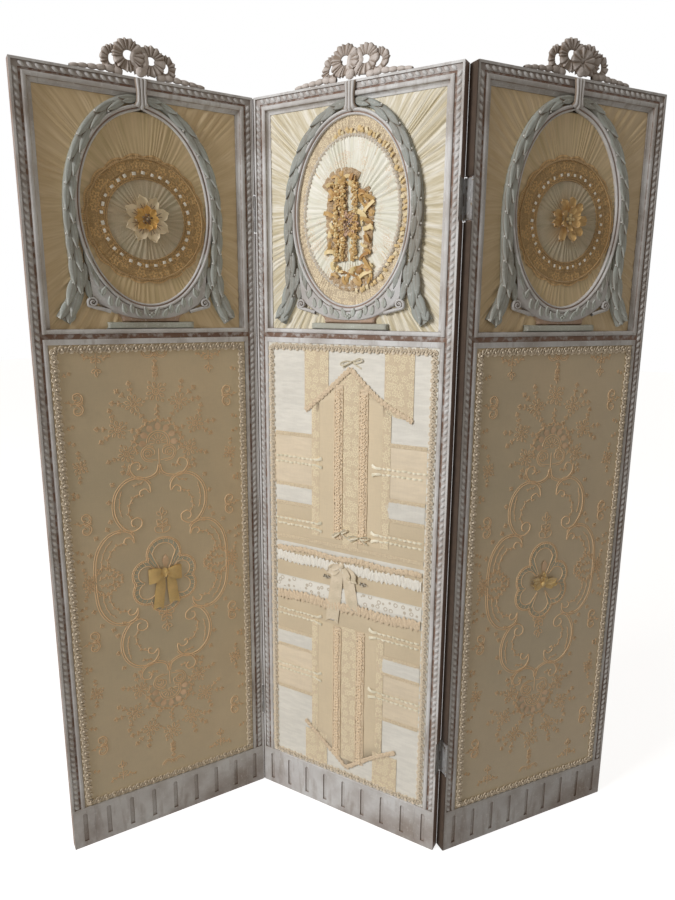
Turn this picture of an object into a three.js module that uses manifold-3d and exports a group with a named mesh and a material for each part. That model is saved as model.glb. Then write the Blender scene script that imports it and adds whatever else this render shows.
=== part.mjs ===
import * as THREE from 'three';
import { mergeVertices } from 'three/addons/utils/BufferGeometryUtils.js';
import Module from 'manifold-3d';

// A three-leaf folding screen: carved, painted wooden frames that hold cloth panels,
// joined by hinges that fold either way. Millimetres, +Z up, the centre leaf faces -Y.
// The origin is on the floor under the middle of the centre leaf.

const wasm = await Module();
wasm.setup();

// Driving dimensions of a leaf
const LEAF_WIDTH = 480;
const LEAF_HEIGHT = 1680;
const LEAF_THICKNESS = 24;
const STILE_WIDTH = 48;
const BASE_HEIGHT = 100;
const UPPER_HEIGHT = 490; // from the mid rail's top edge to the leaf's top edge
const MID_RAIL_FACE = 31;

// Angles of the two folds, counted from leaves that lie in one plane
const LEFT_FOLD = THREE.MathUtils.degToRad(61.3);
const RIGHT_FOLD = THREE.MathUtils.degToRad(54.8);

// Clearances
const JOINT_GAP = 3.2; // between the edges of two leaves in one plane
const FIT = 0.3; // between pieces that touch
const OVERRUN = 4; // of a cutting tool past the face that it cuts

// Moulding of stiles and top rail, from the outer edge inwards, depths below the front face
const moulding = {
  fillet: 4.5,
  channel: 11,
  channelDepth: 3,
  groove: 4,
  grooveDepth: 4,
  bead: 9.5,
  beadSink: 0.4,
  beadSide: 3,
  cove: 8,
  coveFoot: 10.5,
  cornerReach: 1,
};
const BEAD_STEPS = 5;

// Rebates, as depths below the front face or the back face
const SILK_SHELF = 14;
const PANEL_SHELF = 5;
const LINING_REBATE = 2;
const LINING_LAP = 10;

// Mid rail face, from its top edge down: bead, groove, fillet
const midRail = { bead: 9.5, beadSide: 3, beadSink: 0.6, groove: 10.5, grooveDepth: 4, silkLap: 11 };

// Base rail
const base = { bevel: 2, fluteCount: 9, fluteWidth: 10, fluteLow: 13, fluteMargin: 14, fluteDepth: 3 };
const FLUTE_STEPS = 6;

// Gathered silk of the upper opening
const silk = { foldHeight: 1.5, thin: 0.6, folds: 40, fullFoldShare: 0.5 };

// Carved oval of the upper opening
const oval = {
  sideMargin: 73, // from the cove to the inner edge
  footRise: 52, // of the inner edge above the mid rail
  crownGap: 0.8,
  mouldingWidth: 13,
  front: 0.5,
  garlandWidth: 23,
  garlandCrownWidth: 13.8,
  garlandSeat: 2, // of its inner edge on the moulding
  garlandFront: -3,
  voluteRadius: 9.5,
  supportHalfWidth: 76,
  supportWaist: 62,
  supportHeight: 18,
  plinthHalfWidth: 93,
  plinthHeight: 14,
  plinthFront: 1,
};
const OVAL_STEPS = 34;
const GARLAND_STEPS = 20;
const GARLAND_END = THREE.MathUtils.degToRad(-20);
const BAND_END = THREE.MathUtils.degToRad(-42);
const BAND_STEPS = 6;

// Points of the carving beside and under the oval. Rises are shares of the height of the oval's
// middle over the mid rail. Outs are shares of the side margin past the inner edge for the tails,
// and of the oval's half width for the rest. Widths are shares of the garland's width.
const tailShares = [
  { out: 0.18, rise: 0.425, width: 1.17 },
  { out: 0.25, rise: 0.313, width: 1.24 },
  { out: 0.38, rise: 0.209, width: 1.36 },
  { out: 0.66, rise: 0.073, width: 1.31 },
];
const innerLeafShares = [[0.862, 0.483], [0.831, 0.396], [0.9, 0.3], [1, 0.354], [1.054, 0.467], [1.092, 0.625]];
const bandShares = [[0.869, 0.3], [0.931, 0.225], [0.931, 0.192], [0.785, 0.208], [0.615, 0.129], [0.369, 0.096]];
const voluteShares = [0.931, 0.225];
const BAND_FOOT_SHARE = 0.079;

// Reeded strap that ties the oval to the crest
const strap = { width: 26, thickness: 5, reedDepth: 1.5, reeds: 3 };

// Crest bow on the top rail
const crest = {
  height: 70,
  bowWidth: 152,
  tailReach: 134,
  tailHeight: 11,
  ribbon: 17,
  thickness: 8,
  layer: 3,
  bedHeight: 6,
  bedBack: 11,
  knotRadius: 10,
};
const CREST_STEPS = 14;
const KNOT_SIDES = 10;
const KNOT_FLAT_SHARE = 0.6;
const TAIL_WAVES = 3;
const crestLoopShares = [
  { across: -0.145, up: 0.545, wide: 0.215, tall: 0.455, layer: 0 },
  { across: 0.15, up: 0.5, wide: 0.205, tall: 0.43, layer: 1 },
  { across: -0.345, up: 0.4, wide: 0.155, tall: 0.385, layer: 2 },
  { across: 0.345, up: 0.39, wide: 0.155, tall: 0.375, layer: 2 },
];

// Medallions that lie on the silk inside the oval
const medallion = {
  thickness: 1.2,
  laceDrop: 18,
  scallop: 4,
  flowerRadius: 46,
  flowerDip: 10,
  flowerHeight: 5,
  heartRadius: 22,
  heartHeight: 10,
  rimGap: 3,
  wreathHalfWidth: 52,
  wreathHalfHeight: 108,
  wreathBand: 26,
  wreathHeight: 8,
};
const SCALLOPS = 16;
const PETALS = 8;

// Cloth panel, gimp and ribbon of the lower opening
const panel = { thickness: 2.5, gimpWidth: 18, gimpHeight: 2.5 };
const ribbons = {
  left: { rise: 7, loopWidth: 37, loopHeight: 38, tailWidth: 24, tails: [88, 80], spread: 12, height: 5 },
  centre: { rise: 21, loopWidth: 36, loopHeight: 34, tailWidth: 30, tails: [154, 108], spread: 14, height: 5 },
  right: { rise: -8, loopWidth: 44, loopHeight: 20, tailWidth: 20, tails: [44, 38], spread: 8, height: 5 },
};
const ribbonKnot = { radius: 8, height: 6 };
const notchShare = 0.35;

// Back lining
const lining = { thickness: 1.4 };

// Hinges that fold both ways: a web between two plates, with a pin at each face of the leaf
const hinge = {
  height: 76,
  upperDrop: 240,
  lowerRise: 237,
  plate: 1.4,
  web: 1.6,
  barrelRadius: 2.6,
  boreRadius: 1.35,
  pinRadius: 1,
  pinHeadRadius: 1.8,
  pinHead: 1.2,
  knuckleGap: 0.5,
  relief: 3.4,
  notchRadius: 3.2,
  notchSpare: 3.5,
};
const KNUCKLES = 3;
const BARREL_SIDES = 10;
const PIN_SIDES = 8;

// Places that follow from the sizes above
const HALF_WIDTH = LEAF_WIDTH / 2;
const FRONT = -LEAF_THICKNESS / 2;
const BACK = LEAF_THICKNESS / 2;
const GROOVE_START = moulding.fillet + moulding.channel;
const BEAD_START = GROOVE_START + moulding.groove;
const BEAD_END = BEAD_START + moulding.bead;
const COVE_END = BEAD_END + moulding.cove;
const MID_RAIL_TOP = LEAF_HEIGHT - UPPER_HEIGHT;
const MID_RAIL_LOW = MID_RAIL_TOP - MID_RAIL_FACE;
const FLUTE_PITCH = LEAF_WIDTH / base.fluteCount;
const OVAL_LOW = MID_RAIL_TOP + oval.footRise;
const OVAL_CROWN = oval.mouldingWidth + oval.garlandCrownWidth - oval.garlandSeat;
const OVAL_TOP = LEAF_HEIGHT - COVE_END - oval.crownGap - OVAL_CROWN;
const OVAL_CENTRE = (OVAL_LOW + OVAL_TOP) / 2;
const OVAL_RISE = OVAL_CENTRE - MID_RAIL_TOP;
const OVAL_HALF_HEIGHT = (OVAL_TOP - OVAL_LOW) / 2;
const OVAL_HALF_WIDTH = HALF_WIDTH - COVE_END - oval.sideMargin;
const FLUTE_DEPTH_Y = FRONT + base.fluteDepth;
const SILK_BACK = FRONT + SILK_SHELF - FIT;
const SILK_VALLEY = SILK_BACK - silk.thin;
const SILK_PEAK = SILK_VALLEY - silk.foldHeight;
const RELIEF_BACK = SILK_PEAK - FIT;
const PANEL_BACK = FRONT + PANEL_SHELF - FIT;
const PANEL_FRONT = PANEL_BACK - panel.thickness;
const TRIM_BACK = PANEL_FRONT - FIT;
const AXIS_OUT = HALF_WIDTH + JOINT_GAP / 2;

// Paints, cloths and metal
const finish = (color, roughness, metalness = 0) => new THREE.MeshStandardMaterial({ color, roughness, metalness });
const finishes = {
  paint: () => finish(0xc3c0bd, 0.75),
  carvedPaint: () => finish(0xa9b3a8, 0.72),
  crestPaint: () => finish(0xc2b2a8, 0.72),
  shadedSilk: () => finish(0xb7a27c, 0.6),
  paleSilk: () => finish(0xe2d2ab, 0.55),
  lace: () => finish(0xb79a6a, 0.85),
  paleLace: () => finish(0xe6dcc6, 0.85),
  satin: () => finish(0xa8a284, 0.5),
  patchwork: () => finish(0xdcc9a2, 0.7),
  gimp: () => finish(0xd9c29c, 0.9),
  ribbon: () => finish(0xd1b077, 0.45),
  lining: () => finish(0xbdb194, 0.95),
  hingeSteel: () => finish(0x7d7a76, 0.55, 0.6),
};

// Turns a closed geometry into a solid for joining and cutting
function solidOf(geometry) {
  const bare = geometry.clone();
  bare.deleteAttribute('normal');
  bare.deleteAttribute('uv');
  const merged = mergeVertices(bare);
  return new wasm.Manifold(new wasm.Mesh({
    numProp: 3,
    vertProperties: new Float32Array(merged.attributes.position.array),
    triVerts: new Uint32Array(merged.index.array),
  }));
}

function geometryOf(solid) {
  const mesh = solid.getMesh();
  const geometry = new THREE.BufferGeometry();
  geometry.setAttribute('position', new THREE.BufferAttribute(new Float32Array(mesh.vertProperties), 3));
  geometry.setIndex(new THREE.BufferAttribute(new Uint32Array(mesh.triVerts), 1));
  geometry.computeVertexNormals();
  return geometry;
}

const join = (solids) => solids.reduce((whole, solid) => whole.add(solid));
const cut = (solid, tools) => tools.reduce((rest, tool) => rest.subtract(tool), solid);

// The three directions in which outlines are pushed
const TURN_ACROSS = new THREE.Matrix4().makeBasis(
  new THREE.Vector3(0, 1, 0),
  new THREE.Vector3(0, 0, 1),
  new THREE.Vector3(1, 0, 0),
);
const TURN_FRONT = new THREE.Matrix4().makeBasis(
  new THREE.Vector3(1, 0, 0),
  new THREE.Vector3(0, 0, 1),
  new THREE.Vector3(0, -1, 0),
);

function push(outline, depth, hole) {
  const shape = new THREE.Shape(outline.map(([across, up]) => new THREE.Vector2(across, up)));
  if (hole) {
    shape.holes.push(new THREE.Path(hole.map(([across, up]) => new THREE.Vector2(across, up))));
  }
  return new THREE.ExtrudeGeometry(shape, { depth, bevelEnabled: false });
}

// Outline in (y, z), pushed from xLow to xHigh
function runAcross(outline, xLow, xHigh) {
  const geometry = push(outline, xHigh - xLow).applyMatrix4(TURN_ACROSS);
  return solidOf(geometry.translate(xLow, 0, 0));
}

// Outline in (x, z) as seen from the front, from yFront to yBack
function slab(outline, yFront, yBack, hole) {
  const geometry = push(outline, yBack - yFront, hole).applyMatrix4(TURN_FRONT);
  return solidOf(geometry.translate(0, yBack, 0));
}

// Outline in (x, y) as seen from above, from zLow to zHigh
function column(outline, zLow, zHigh) {
  return solidOf(push(outline, zHigh - zLow).translate(0, 0, zLow));
}

function block(xLow, xHigh, yLow, yHigh, zLow, zHigh) {
  const geometry = new THREE.BoxGeometry(xHigh - xLow, yHigh - yLow, zHigh - zLow);
  return solidOf(geometry.translate((xLow + xHigh) / 2, (yLow + yHigh) / 2, (zLow + zHigh) / 2));
}

function roundOutline(centreX, centreUp, radiusX, radiusUp, sides) {
  return Array.from({ length: sides }, (unused, side) => {
    const angle = 2 * Math.PI * side / sides;
    return [centreX + radiusX * Math.cos(angle), centreUp + radiusUp * Math.sin(angle)];
  });
}

// Skins a row of sections, each a loop of [x, y, z] points, into one closed body
function skin(sections, closedRow) {
  const loop = sections[0].length;
  const positions = sections.flat(2);
  const index = [];
  const rows = closedRow ? sections.length : sections.length - 1;
  for (let row = 0; row < rows; row += 1) {
    const next = (row + 1) % sections.length;
    for (let side = 0; side < loop; side += 1) {
      const after = (side + 1) % loop;
      const corners = [row * loop + side, row * loop + after, next * loop + after, next * loop + side];
      index.push(corners[0], corners[1], corners[2], corners[0], corners[2], corners[3]);
    }
  }
  if (!closedRow) {
    const lastRow = (sections.length - 1) * loop;
    const flat = flattened(sections[0]);
    THREE.ShapeUtils.triangulateShape(flat, []).forEach(([first, second, third]) => {
      index.push(third, second, first);
      index.push(lastRow + first, lastRow + second, lastRow + third);
    });
  }
  const geometry = new THREE.BufferGeometry();
  geometry.setAttribute('position', new THREE.Float32BufferAttribute(positions, 3));
  geometry.setIndex(index);
  return outward(geometry);
}

// A section's points in the plane of the section, turning the way that the section turns
function flattened(section) {
  const points = section.map((point) => new THREE.Vector3(...point));
  const normal = new THREE.Vector3();
  points.forEach((point, at) => {
    normal.add(new THREE.Vector3().crossVectors(point, points[(at + 1) % points.length]));
  });
  normal.normalize();
  const across = new THREE.Vector3().subVectors(points[1], points[0]).normalize();
  const up = new THREE.Vector3().crossVectors(normal, across);
  return points.map((point) => new THREE.Vector2(point.dot(across), point.dot(up)));
}

// Turns the faces round where they point inwards
function outward(geometry) {
  const position = geometry.attributes.position;
  const index = geometry.index.array;
  const corner = [new THREE.Vector3(), new THREE.Vector3(), new THREE.Vector3()];
  let volume = 0;
  for (let at = 0; at < index.length; at += 3) {
    corner.forEach((point, which) => point.fromBufferAttribute(position, index[at + which]));
    volume += corner[0].dot(new THREE.Vector3().crossVectors(corner[1], corner[2]));
  }
  if (volume < 0) {
    for (let at = 0; at < index.length; at += 3) {
      [index[at + 1], index[at + 2]] = [index[at + 2], index[at + 1]];
    }
  }
  return geometry;
}

// Moulding, as [distance from the outer edge, depth below the front face]
function mouldedFace() {
  const points = [
    [0, 0],
    [moulding.fillet, 0],
    [moulding.fillet, moulding.channelDepth],
    [GROOVE_START, moulding.channelDepth],
    [GROOVE_START, moulding.grooveDepth],
    [BEAD_START, moulding.grooveDepth],
  ];
  for (let step = 0; step <= BEAD_STEPS; step += 1) {
    const angle = Math.PI * step / BEAD_STEPS;
    points.push([
      BEAD_START + moulding.bead * (1 - Math.cos(angle)) / 2,
      moulding.beadSide - (moulding.beadSide - moulding.beadSink) * Math.sin(angle),
    ]);
  }
  return points;
}

function upperSection() {
  const coveDrop = moulding.coveFoot - moulding.beadSide;
  const cove = [1, 2, 3].map((step) => {
    const angle = Math.PI / 2 * step / 3;
    return [BEAD_END + moulding.cove * (1 - Math.cos(angle)), moulding.beadSide + coveDrop * Math.sin(angle)];
  });
  return [
    ...mouldedFace(),
    ...cove,
    [COVE_END, SILK_SHELF],
    [STILE_WIDTH, SILK_SHELF],
    [STILE_WIDTH, LEAF_THICKNESS],
    [0, LEAF_THICKNESS],
  ];
}

function lowerSection() {
  return [
    ...mouldedFace(),
    [BEAD_END, PANEL_SHELF],
    [STILE_WIDTH, PANEL_SHELF],
    [STILE_WIDTH, LEAF_THICKNESS],
    [0, LEAF_THICKNESS],
  ];
}

// Mid rail face, as [height, depth below the front face]
function midRailSection(low, high) {
  const beadLow = MID_RAIL_TOP - midRail.bead;
  const grooveLow = beadLow - midRail.groove;
  const bead = [];
  for (let step = 0; step <= BEAD_STEPS; step += 1) {
    const angle = Math.PI * step / BEAD_STEPS;
    bead.push([
      beadLow + midRail.bead * (1 - Math.cos(angle)) / 2,
      midRail.beadSide - (midRail.beadSide - midRail.beadSink) * Math.sin(angle),
    ]);
  }
  return [
    [low, PANEL_SHELF],
    [MID_RAIL_LOW, PANEL_SHELF],
    [MID_RAIL_LOW, 0],
    [grooveLow, 0],
    [grooveLow, midRail.grooveDepth],
    [beadLow, midRail.grooveDepth],
    ...bead,
    [MID_RAIL_TOP, SILK_SHELF],
    [high, SILK_SHELF],
    [high, LEAF_THICKNESS],
    [low, LEAF_THICKNESS],
  ];
}

const fromHeights = (section) => section.map(([height, depth]) => [FRONT + depth, height]);
const fromTop = (section) => section.map(([drop, depth]) => [FRONT + depth, LEAF_HEIGHT - drop]);

// Space that the back lining lies in
function liningSpace() {
  const inset = STILE_WIDTH - LINING_LAP;
  const reach = HALF_WIDTH - inset;
  return block(-reach, reach, BACK - LINING_REBATE, BACK + OVERRUN, inset, LEAF_HEIGHT - inset);
}

// Flutes of the base, round at the top
function flutes() {
  const half = base.fluteWidth / 2;
  const spring = BASE_HEIGHT - base.fluteMargin - half;
  return Array.from({ length: base.fluteCount }, (unused, which) => {
    const centre = (which - (base.fluteCount - 1) / 2) * FLUTE_PITCH;
    const outline = [[centre - half, base.fluteLow], [centre + half, base.fluteLow]];
    for (let step = 0; step <= FLUTE_STEPS; step += 1) {
      const angle = Math.PI * step / FLUTE_STEPS;
      outline.push([centre + half * Math.cos(angle), spring + half * Math.sin(angle)]);
    }
    return slab(outline, FRONT - OVERRUN, FLUTE_DEPTH_Y);
  });
}

// Recess and arris notches for one hinge in the edge of a stile
function hingeCuts(side, height) {
  const recess = hinge.plate + FIT;
  const edge = side * HALF_WIDTH;
  const inner = edge - side * recess;
  const outer = edge + side * OVERRUN;
  const half = hinge.height / 2 + FIT;
  const notchHalf = hinge.height / 2 + hinge.notchSpare;
  const notch = (y) => column(
    roundOutline(side * AXIS_OUT, y, hinge.notchRadius, hinge.notchRadius, BARREL_SIDES),
    height - notchHalf,
    height + notchHalf,
  );
  return [
    block(Math.min(inner, outer), Math.max(inner, outer), FRONT - OVERRUN, BACK + OVERRUN, height - half, height + half),
    notch(FRONT),
    notch(BACK),
  ];
}

const HINGE_HEIGHTS = [LEAF_HEIGHT - hinge.upperDrop, hinge.lowerRise];

// One stile with its foot, its turn into the top rail and the ends of the mid rail's face
function stile(side, hinged) {
  const place = (inset, depth, height) => [side * (HALF_WIDTH - inset), FRONT + depth, height];
  const section = upperSection();
  const reach = STILE_WIDTH + moulding.cornerReach;
  const upper = solidOf(skin([
    section.map(([inset, depth]) => place(inset, depth, MID_RAIL_TOP - midRail.bead)),
    section.map(([inset, depth]) => place(inset, depth, LEAF_HEIGHT - inset)),
    section.map(([inset, depth]) => place(reach, depth, LEAF_HEIGHT - inset)),
  ], false));
  const lower = column(
    lowerSection().map(([inset, depth]) => [side * (HALF_WIDTH - inset), FRONT + depth]),
    BASE_HEIGHT - midRail.bead,
    MID_RAIL_TOP,
  );
  const innerX = side * (HALF_WIDTH - STILE_WIDTH);
  const outerX = side * HALF_WIDTH;
  const foot = block(Math.min(innerX, outerX), Math.max(innerX, outerX), FRONT, BACK, 0, BASE_HEIGHT);
  const stubX = side * (HALF_WIDTH - BEAD_START - moulding.bead / 2);
  const stub = runAcross(
    fromHeights(midRailSection(MID_RAIL_LOW - FIT, MID_RAIL_TOP + FIT)),
    Math.min(innerX, stubX),
    Math.max(innerX, stubX),
  );
  const grooveX = side * (HALF_WIDTH - BEAD_START);
  const grooveHigh = MID_RAIL_TOP - midRail.bead;
  const grooveCut = block(
    Math.min(innerX, grooveX),
    Math.max(innerX, grooveX),
    FRONT - OVERRUN,
    FRONT + midRail.grooveDepth,
    grooveHigh - midRail.groove,
    grooveHigh,
  );
  const hinges = hinged ? HINGE_HEIGHTS.flatMap((height) => hingeCuts(side, height)) : [];
  return cut(join([upper, lower, foot, stub]), [grooveCut, liningSpace(), ...flutes(), ...hinges]);
}

function topRail() {
  const reach = HALF_WIDTH - STILE_WIDTH - moulding.cornerReach - FIT;
  return cut(runAcross(fromTop(upperSection()), -reach, reach), [liningSpace()]);
}

const RAIL_REACH = HALF_WIDTH - STILE_WIDTH - FIT;

function midRailSolid() {
  const section = midRailSection(MID_RAIL_LOW - panel.gimpWidth, MID_RAIL_TOP + midRail.silkLap);
  return cut(runAcross(fromHeights(section), -RAIL_REACH, RAIL_REACH), [liningSpace()]);
}

function baseRail() {
  const section = [
    [0, 0],
    [BASE_HEIGHT - base.bevel, 0],
    [BASE_HEIGHT, base.bevel],
    [BASE_HEIGHT, PANEL_SHELF],
    [BASE_HEIGHT + panel.gimpWidth, PANEL_SHELF],
    [BASE_HEIGHT + panel.gimpWidth, LEAF_THICKNESS],
    [0, LEAF_THICKNESS],
  ];
  return cut(runAcross(fromHeights(section), -RAIL_REACH, RAIL_REACH), [liningSpace(), ...flutes()]);
}

// Silk gathered into folds that run out from the middle of the oval
function gatheredSilk() {
  const right = HALF_WIDTH - COVE_END - FIT;
  const low = MID_RAIL_TOP + FIT;
  const high = LEAF_HEIGHT - COVE_END - FIT;
  const rays = 2 * silk.folds;
  const width = 2 * right;
  const height = high - low;
  const acrossRays = Math.round(rays / 2 * width / (width + height));
  const upRays = rays / 2 - acrossRays;
  const rim = [];
  const along = (count, start, end) => {
    for (let step = 0; step < count; step += 1) {
      rim.push([start[0] + (end[0] - start[0]) * step / count, start[1] + (end[1] - start[1]) * step / count]);
    }
  };
  along(acrossRays, [-right, low], [right, low]);
  along(upRays, [right, low], [right, high]);
  along(acrossRays, [right, high], [-right, high]);
  along(upRays, [-right, high], [-right, low]);
  const positions = [0, SILK_VALLEY, OVAL_CENTRE, 0, SILK_BACK, OVAL_CENTRE];
  [silk.fullFoldShare, 1].forEach((share) => rim.forEach(([x, z], ray) => {
    const y = ray % 2 ? SILK_PEAK : SILK_VALLEY;
    positions.push(x * share, y, OVAL_CENTRE + (z - OVAL_CENTRE) * share);
  }));
  rim.forEach(([x, z]) => positions.push(x, SILK_BACK, z));
  const index = [];
  const [inner, outer, back] = [2, 2 + rim.length, 2 + 2 * rim.length];
  rim.forEach((unused, ray) => {
    const next = (ray + 1) % rim.length;
    index.push(0, inner + ray, inner + next);
    index.push(inner + ray, outer + ray, outer + next, inner + ray, outer + next, inner + next);
    index.push(outer + ray, back + ray, back + next, outer + ray, back + next, outer + next);
    index.push(1, back + next, back + ray);
  });
  const geometry = new THREE.BufferGeometry();
  geometry.setAttribute('position', new THREE.Float32BufferAttribute(positions, 3));
  geometry.setIndex(index);
  return solidOf(outward(geometry));
}

// A point on the oval, a distance outside its inner edge
function ovalPoint(angle, out) {
  return [
    (OVAL_HALF_WIDTH + out) * Math.cos(angle),
    OVAL_CENTRE + (OVAL_HALF_HEIGHT + out) * Math.sin(angle),
  ];
}

function ovalMoulding() {
  const front = FRONT + oval.front;
  const width = oval.mouldingWidth;
  const depth = RELIEF_BACK - front;
  const sectionShares = [[0, 1], [0, 0.35], [0.2, 0.1], [0.42, 0.15], [0.5, 0.25], [0.7, 0], [1, 0.1], [1, 1]];
  const sections = Array.from({ length: OVAL_STEPS }, (unused, step) => {
    const angle = 2 * Math.PI * step / OVAL_STEPS;
    return sectionShares.map(([outShare, depthShare]) => {
      const [x, z] = ovalPoint(angle, outShare * width);
      return [x, front + depthShare * depth, z];
    });
  });
  return solidOf(skin(sections, true));
}

// Middle line of the garland from its left tail over the crown to its right tail
function garlandLine() {
  const line = [];
  const start = Math.PI - GARLAND_END;
  for (let step = 0; step <= GARLAND_STEPS; step += 1) {
    const angle = start + (GARLAND_END - start) * step / GARLAND_STEPS;
    const crown = Math.max(0, Math.sin(angle)) ** 2;
    const width = oval.garlandWidth + (oval.garlandCrownWidth - oval.garlandWidth) * crown;
    const [x, z] = ovalPoint(angle, oval.mouldingWidth - oval.garlandSeat + width / 2);
    line.push({ x, z, width });
  }
  const tail = (side) => tailShares.map(({ out, rise, width }) => ({
    x: side * (OVAL_HALF_WIDTH + out * oval.sideMargin),
    z: MID_RAIL_TOP + rise * OVAL_RISE,
    width: width * oval.garlandWidth,
  }));
  return [...tail(-1).reverse(), ...line, ...tail(1)];
}

function garland() {
  const line = garlandLine();
  const front = FRONT + oval.garlandFront;
  const sectionShares = [[-0.5, 1], [-0.5, 0.4], [-0.2, 0], [0.2, 0], [0.5, 0.4], [0.5, 1]];
  const sections = line.map(({ x, z, width }, at) => {
    const before = line[Math.max(0, at - 1)];
    const after = line[Math.min(line.length - 1, at + 1)];
    const length = Math.hypot(after.x - before.x, after.z - before.z);
    const acrossX = -(after.z - before.z) / length;
    const acrossZ = (after.x - before.x) / length;
    return sectionShares.map(([acrossShare, depthShare]) => [
      x + acrossX * acrossShare * width,
      front + depthShare * (RELIEF_BACK - front),
      z + acrossZ * acrossShare * width,
    ]);
  });
  return solidOf(skin(sections, false));
}

const onSide = (side, shares) => shares.map(([out, rise]) => [
  side * out * OVAL_HALF_WIDTH,
  MID_RAIL_TOP + rise * OVAL_RISE,
]);

// Leaf between each tail and the oval
function innerLeaves() {
  return [-1, 1].map((side) => slab(onSide(side, innerLeafShares), FRONT, RELIEF_BACK));
}

// Carved band under the oval, from volute to volute
function lowerBand() {
  const inner = [];
  for (let step = 0; step <= BAND_STEPS; step += 1) {
    const angle = Math.PI - BAND_END + (2 * BAND_END + Math.PI) * step / BAND_STEPS;
    inner.push(ovalPoint(angle, oval.mouldingWidth / 2));
  }
  const right = onSide(1, bandShares);
  const left = onSide(-1, bandShares).reverse();
  const foot = [0, MID_RAIL_TOP + BAND_FOOT_SHARE * OVAL_RISE];
  return slab([...inner, ...right, foot, ...left], FRONT, RELIEF_BACK);
}

function ovalSupport() {
  const low = MID_RAIL_TOP + FIT;
  const plinthTop = low + oval.plinthHeight;
  const top = plinthTop + oval.supportHeight;
  const plinthX = oval.plinthHalfWidth;
  const plinthOutline = [[-plinthX, low], [plinthX, low], [plinthX, plinthTop], [-plinthX, plinthTop]];
  const supportOutline = [
    [-oval.supportHalfWidth, plinthTop - FIT],
    [oval.supportHalfWidth, plinthTop - FIT],
    [oval.supportWaist, (plinthTop + top) / 2],
    [oval.supportWaist, top],
    [-oval.supportWaist, top],
    [-oval.supportWaist, (plinthTop + top) / 2],
  ];
  return [
    slab(plinthOutline, FRONT + oval.plinthFront, RELIEF_BACK),
    slab(supportOutline, FRONT + moulding.channelDepth, RELIEF_BACK),
  ];
}

function volutes() {
  const radius = oval.voluteRadius;
  return [-1, 1].map((side) => {
    const [[x, z]] = onSide(side, [voluteShares]);
    return slab(roundOutline(x, z, radius, radius, BARREL_SIDES), FRONT - FIT, RELIEF_BACK);
  });
}

// Strap with reeds, in front of the top rail
function reededStrap() {
  const back = FRONT - FIT;
  const front = back - strap.thickness;
  const reed = strap.width / strap.reeds;
  const outline = [[-strap.width / 2, back]];
  for (let which = 0; which < strap.reeds; which += 1) {
    const left = -strap.width / 2 + which * reed;
    outline.push([left, front + strap.reedDepth]);
    outline.push([left + reed / 3, front]);
    outline.push([left + 2 * reed / 3, front]);
  }
  outline.push([strap.width / 2, front + strap.reedDepth], [strap.width / 2, back]);
  return column(outline, OVAL_TOP + oval.mouldingWidth - FIT, LEAF_HEIGHT);
}

function ovalFrame() {
  return join([ovalMoulding(), garland(), ...innerLeaves(), lowerBand(), ...volutes(), ...ovalSupport(), reededStrap()]);
}

// Ribbon bow carved in wood that stands on the top rail
function crestBow() {
  const low = LEAF_HEIGHT + FIT;
  const rise = crest.height - FIT;
  const loops = crestLoopShares.map((loop) => {
    const centreX = loop.across * crest.bowWidth;
    const centreUp = low + loop.up * rise;
    const outerX = loop.wide * crest.bowWidth;
    const outerUp = loop.tall * rise;
    const front = FRONT + (loop.layer - 1) * crest.layer;
    return slab(
      roundOutline(centreX, centreUp, outerX, outerUp, CREST_STEPS),
      front,
      front + crest.thickness,
      roundOutline(centreX, centreUp, outerX - crest.ribbon, outerUp - crest.ribbon, CREST_STEPS),
    );
  });
  const bed = [[crest.tailReach, low], [crest.tailReach, low + crest.bedHeight / 2]];
  const waveSteps = TAIL_WAVES * 4;
  const tailStart = crest.bowWidth / 2;
  const tailRise = (step) => {
    const wave = (1 - Math.cos(2 * Math.PI * TAIL_WAVES * step / waveSteps)) / 2;
    return low + crest.bedHeight / 2 + (crest.tailHeight - crest.bedHeight / 2) * wave;
  };
  for (let step = waveSteps - 1; step >= 0; step -= 1) {
    bed.push([tailStart + (crest.tailReach - tailStart) * step / waveSteps, tailRise(step)]);
  }
  bed.push([tailStart - crest.bedHeight, low + crest.bedHeight]);
  const mirrored = bed.map(([x, z]) => [-x, z]).reverse();
  const knot = new THREE.SphereGeometry(crest.knotRadius, KNOT_SIDES, KNOT_SIDES / 2);
  knot.scale(1, KNOT_FLAT_SHARE, 1);
  knot.translate(0, FRONT, low + crest.knotRadius);
  return join([
    slab([...bed, ...mirrored], FRONT + FIT, FRONT + crest.bedBack),
    ...loops,
    solidOf(knot),
  ]);
}

function petalOutline(centreUp, radius, dip, petals, stepsPerPetal) {
  const steps = petals * stepsPerPetal;
  return Array.from({ length: steps }, (unused, step) => {
    const angle = 2 * Math.PI * step / steps;
    const reach = radius - dip * (1 - Math.abs(Math.cos(petals * angle / 2)));
    return [reach * Math.cos(angle), centreUp + reach * Math.sin(angle)];
  });
}

// Round lace with a cloth flower, for the outer leaves
function laceMedallion() {
  const back = RELIEF_BACK;
  const face = back - medallion.thickness;
  const up = OVAL_CENTRE - medallion.laceDrop;
  const laceRadius = OVAL_HALF_WIDTH - medallion.rimGap;
  const lace = petalOutline(up, laceRadius, medallion.scallop, SCALLOPS, 4);
  const petals = petalOutline(up, medallion.flowerRadius, medallion.flowerDip, PETALS, 4);
  const heart = roundOutline(0, up, medallion.heartRadius, medallion.heartRadius, PETALS * 2);
  return join([
    slab(lace, face, back),
    slab(petals, face - medallion.flowerHeight, back),
    slab(heart, face - medallion.heartHeight, back),
  ]);
}

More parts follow.
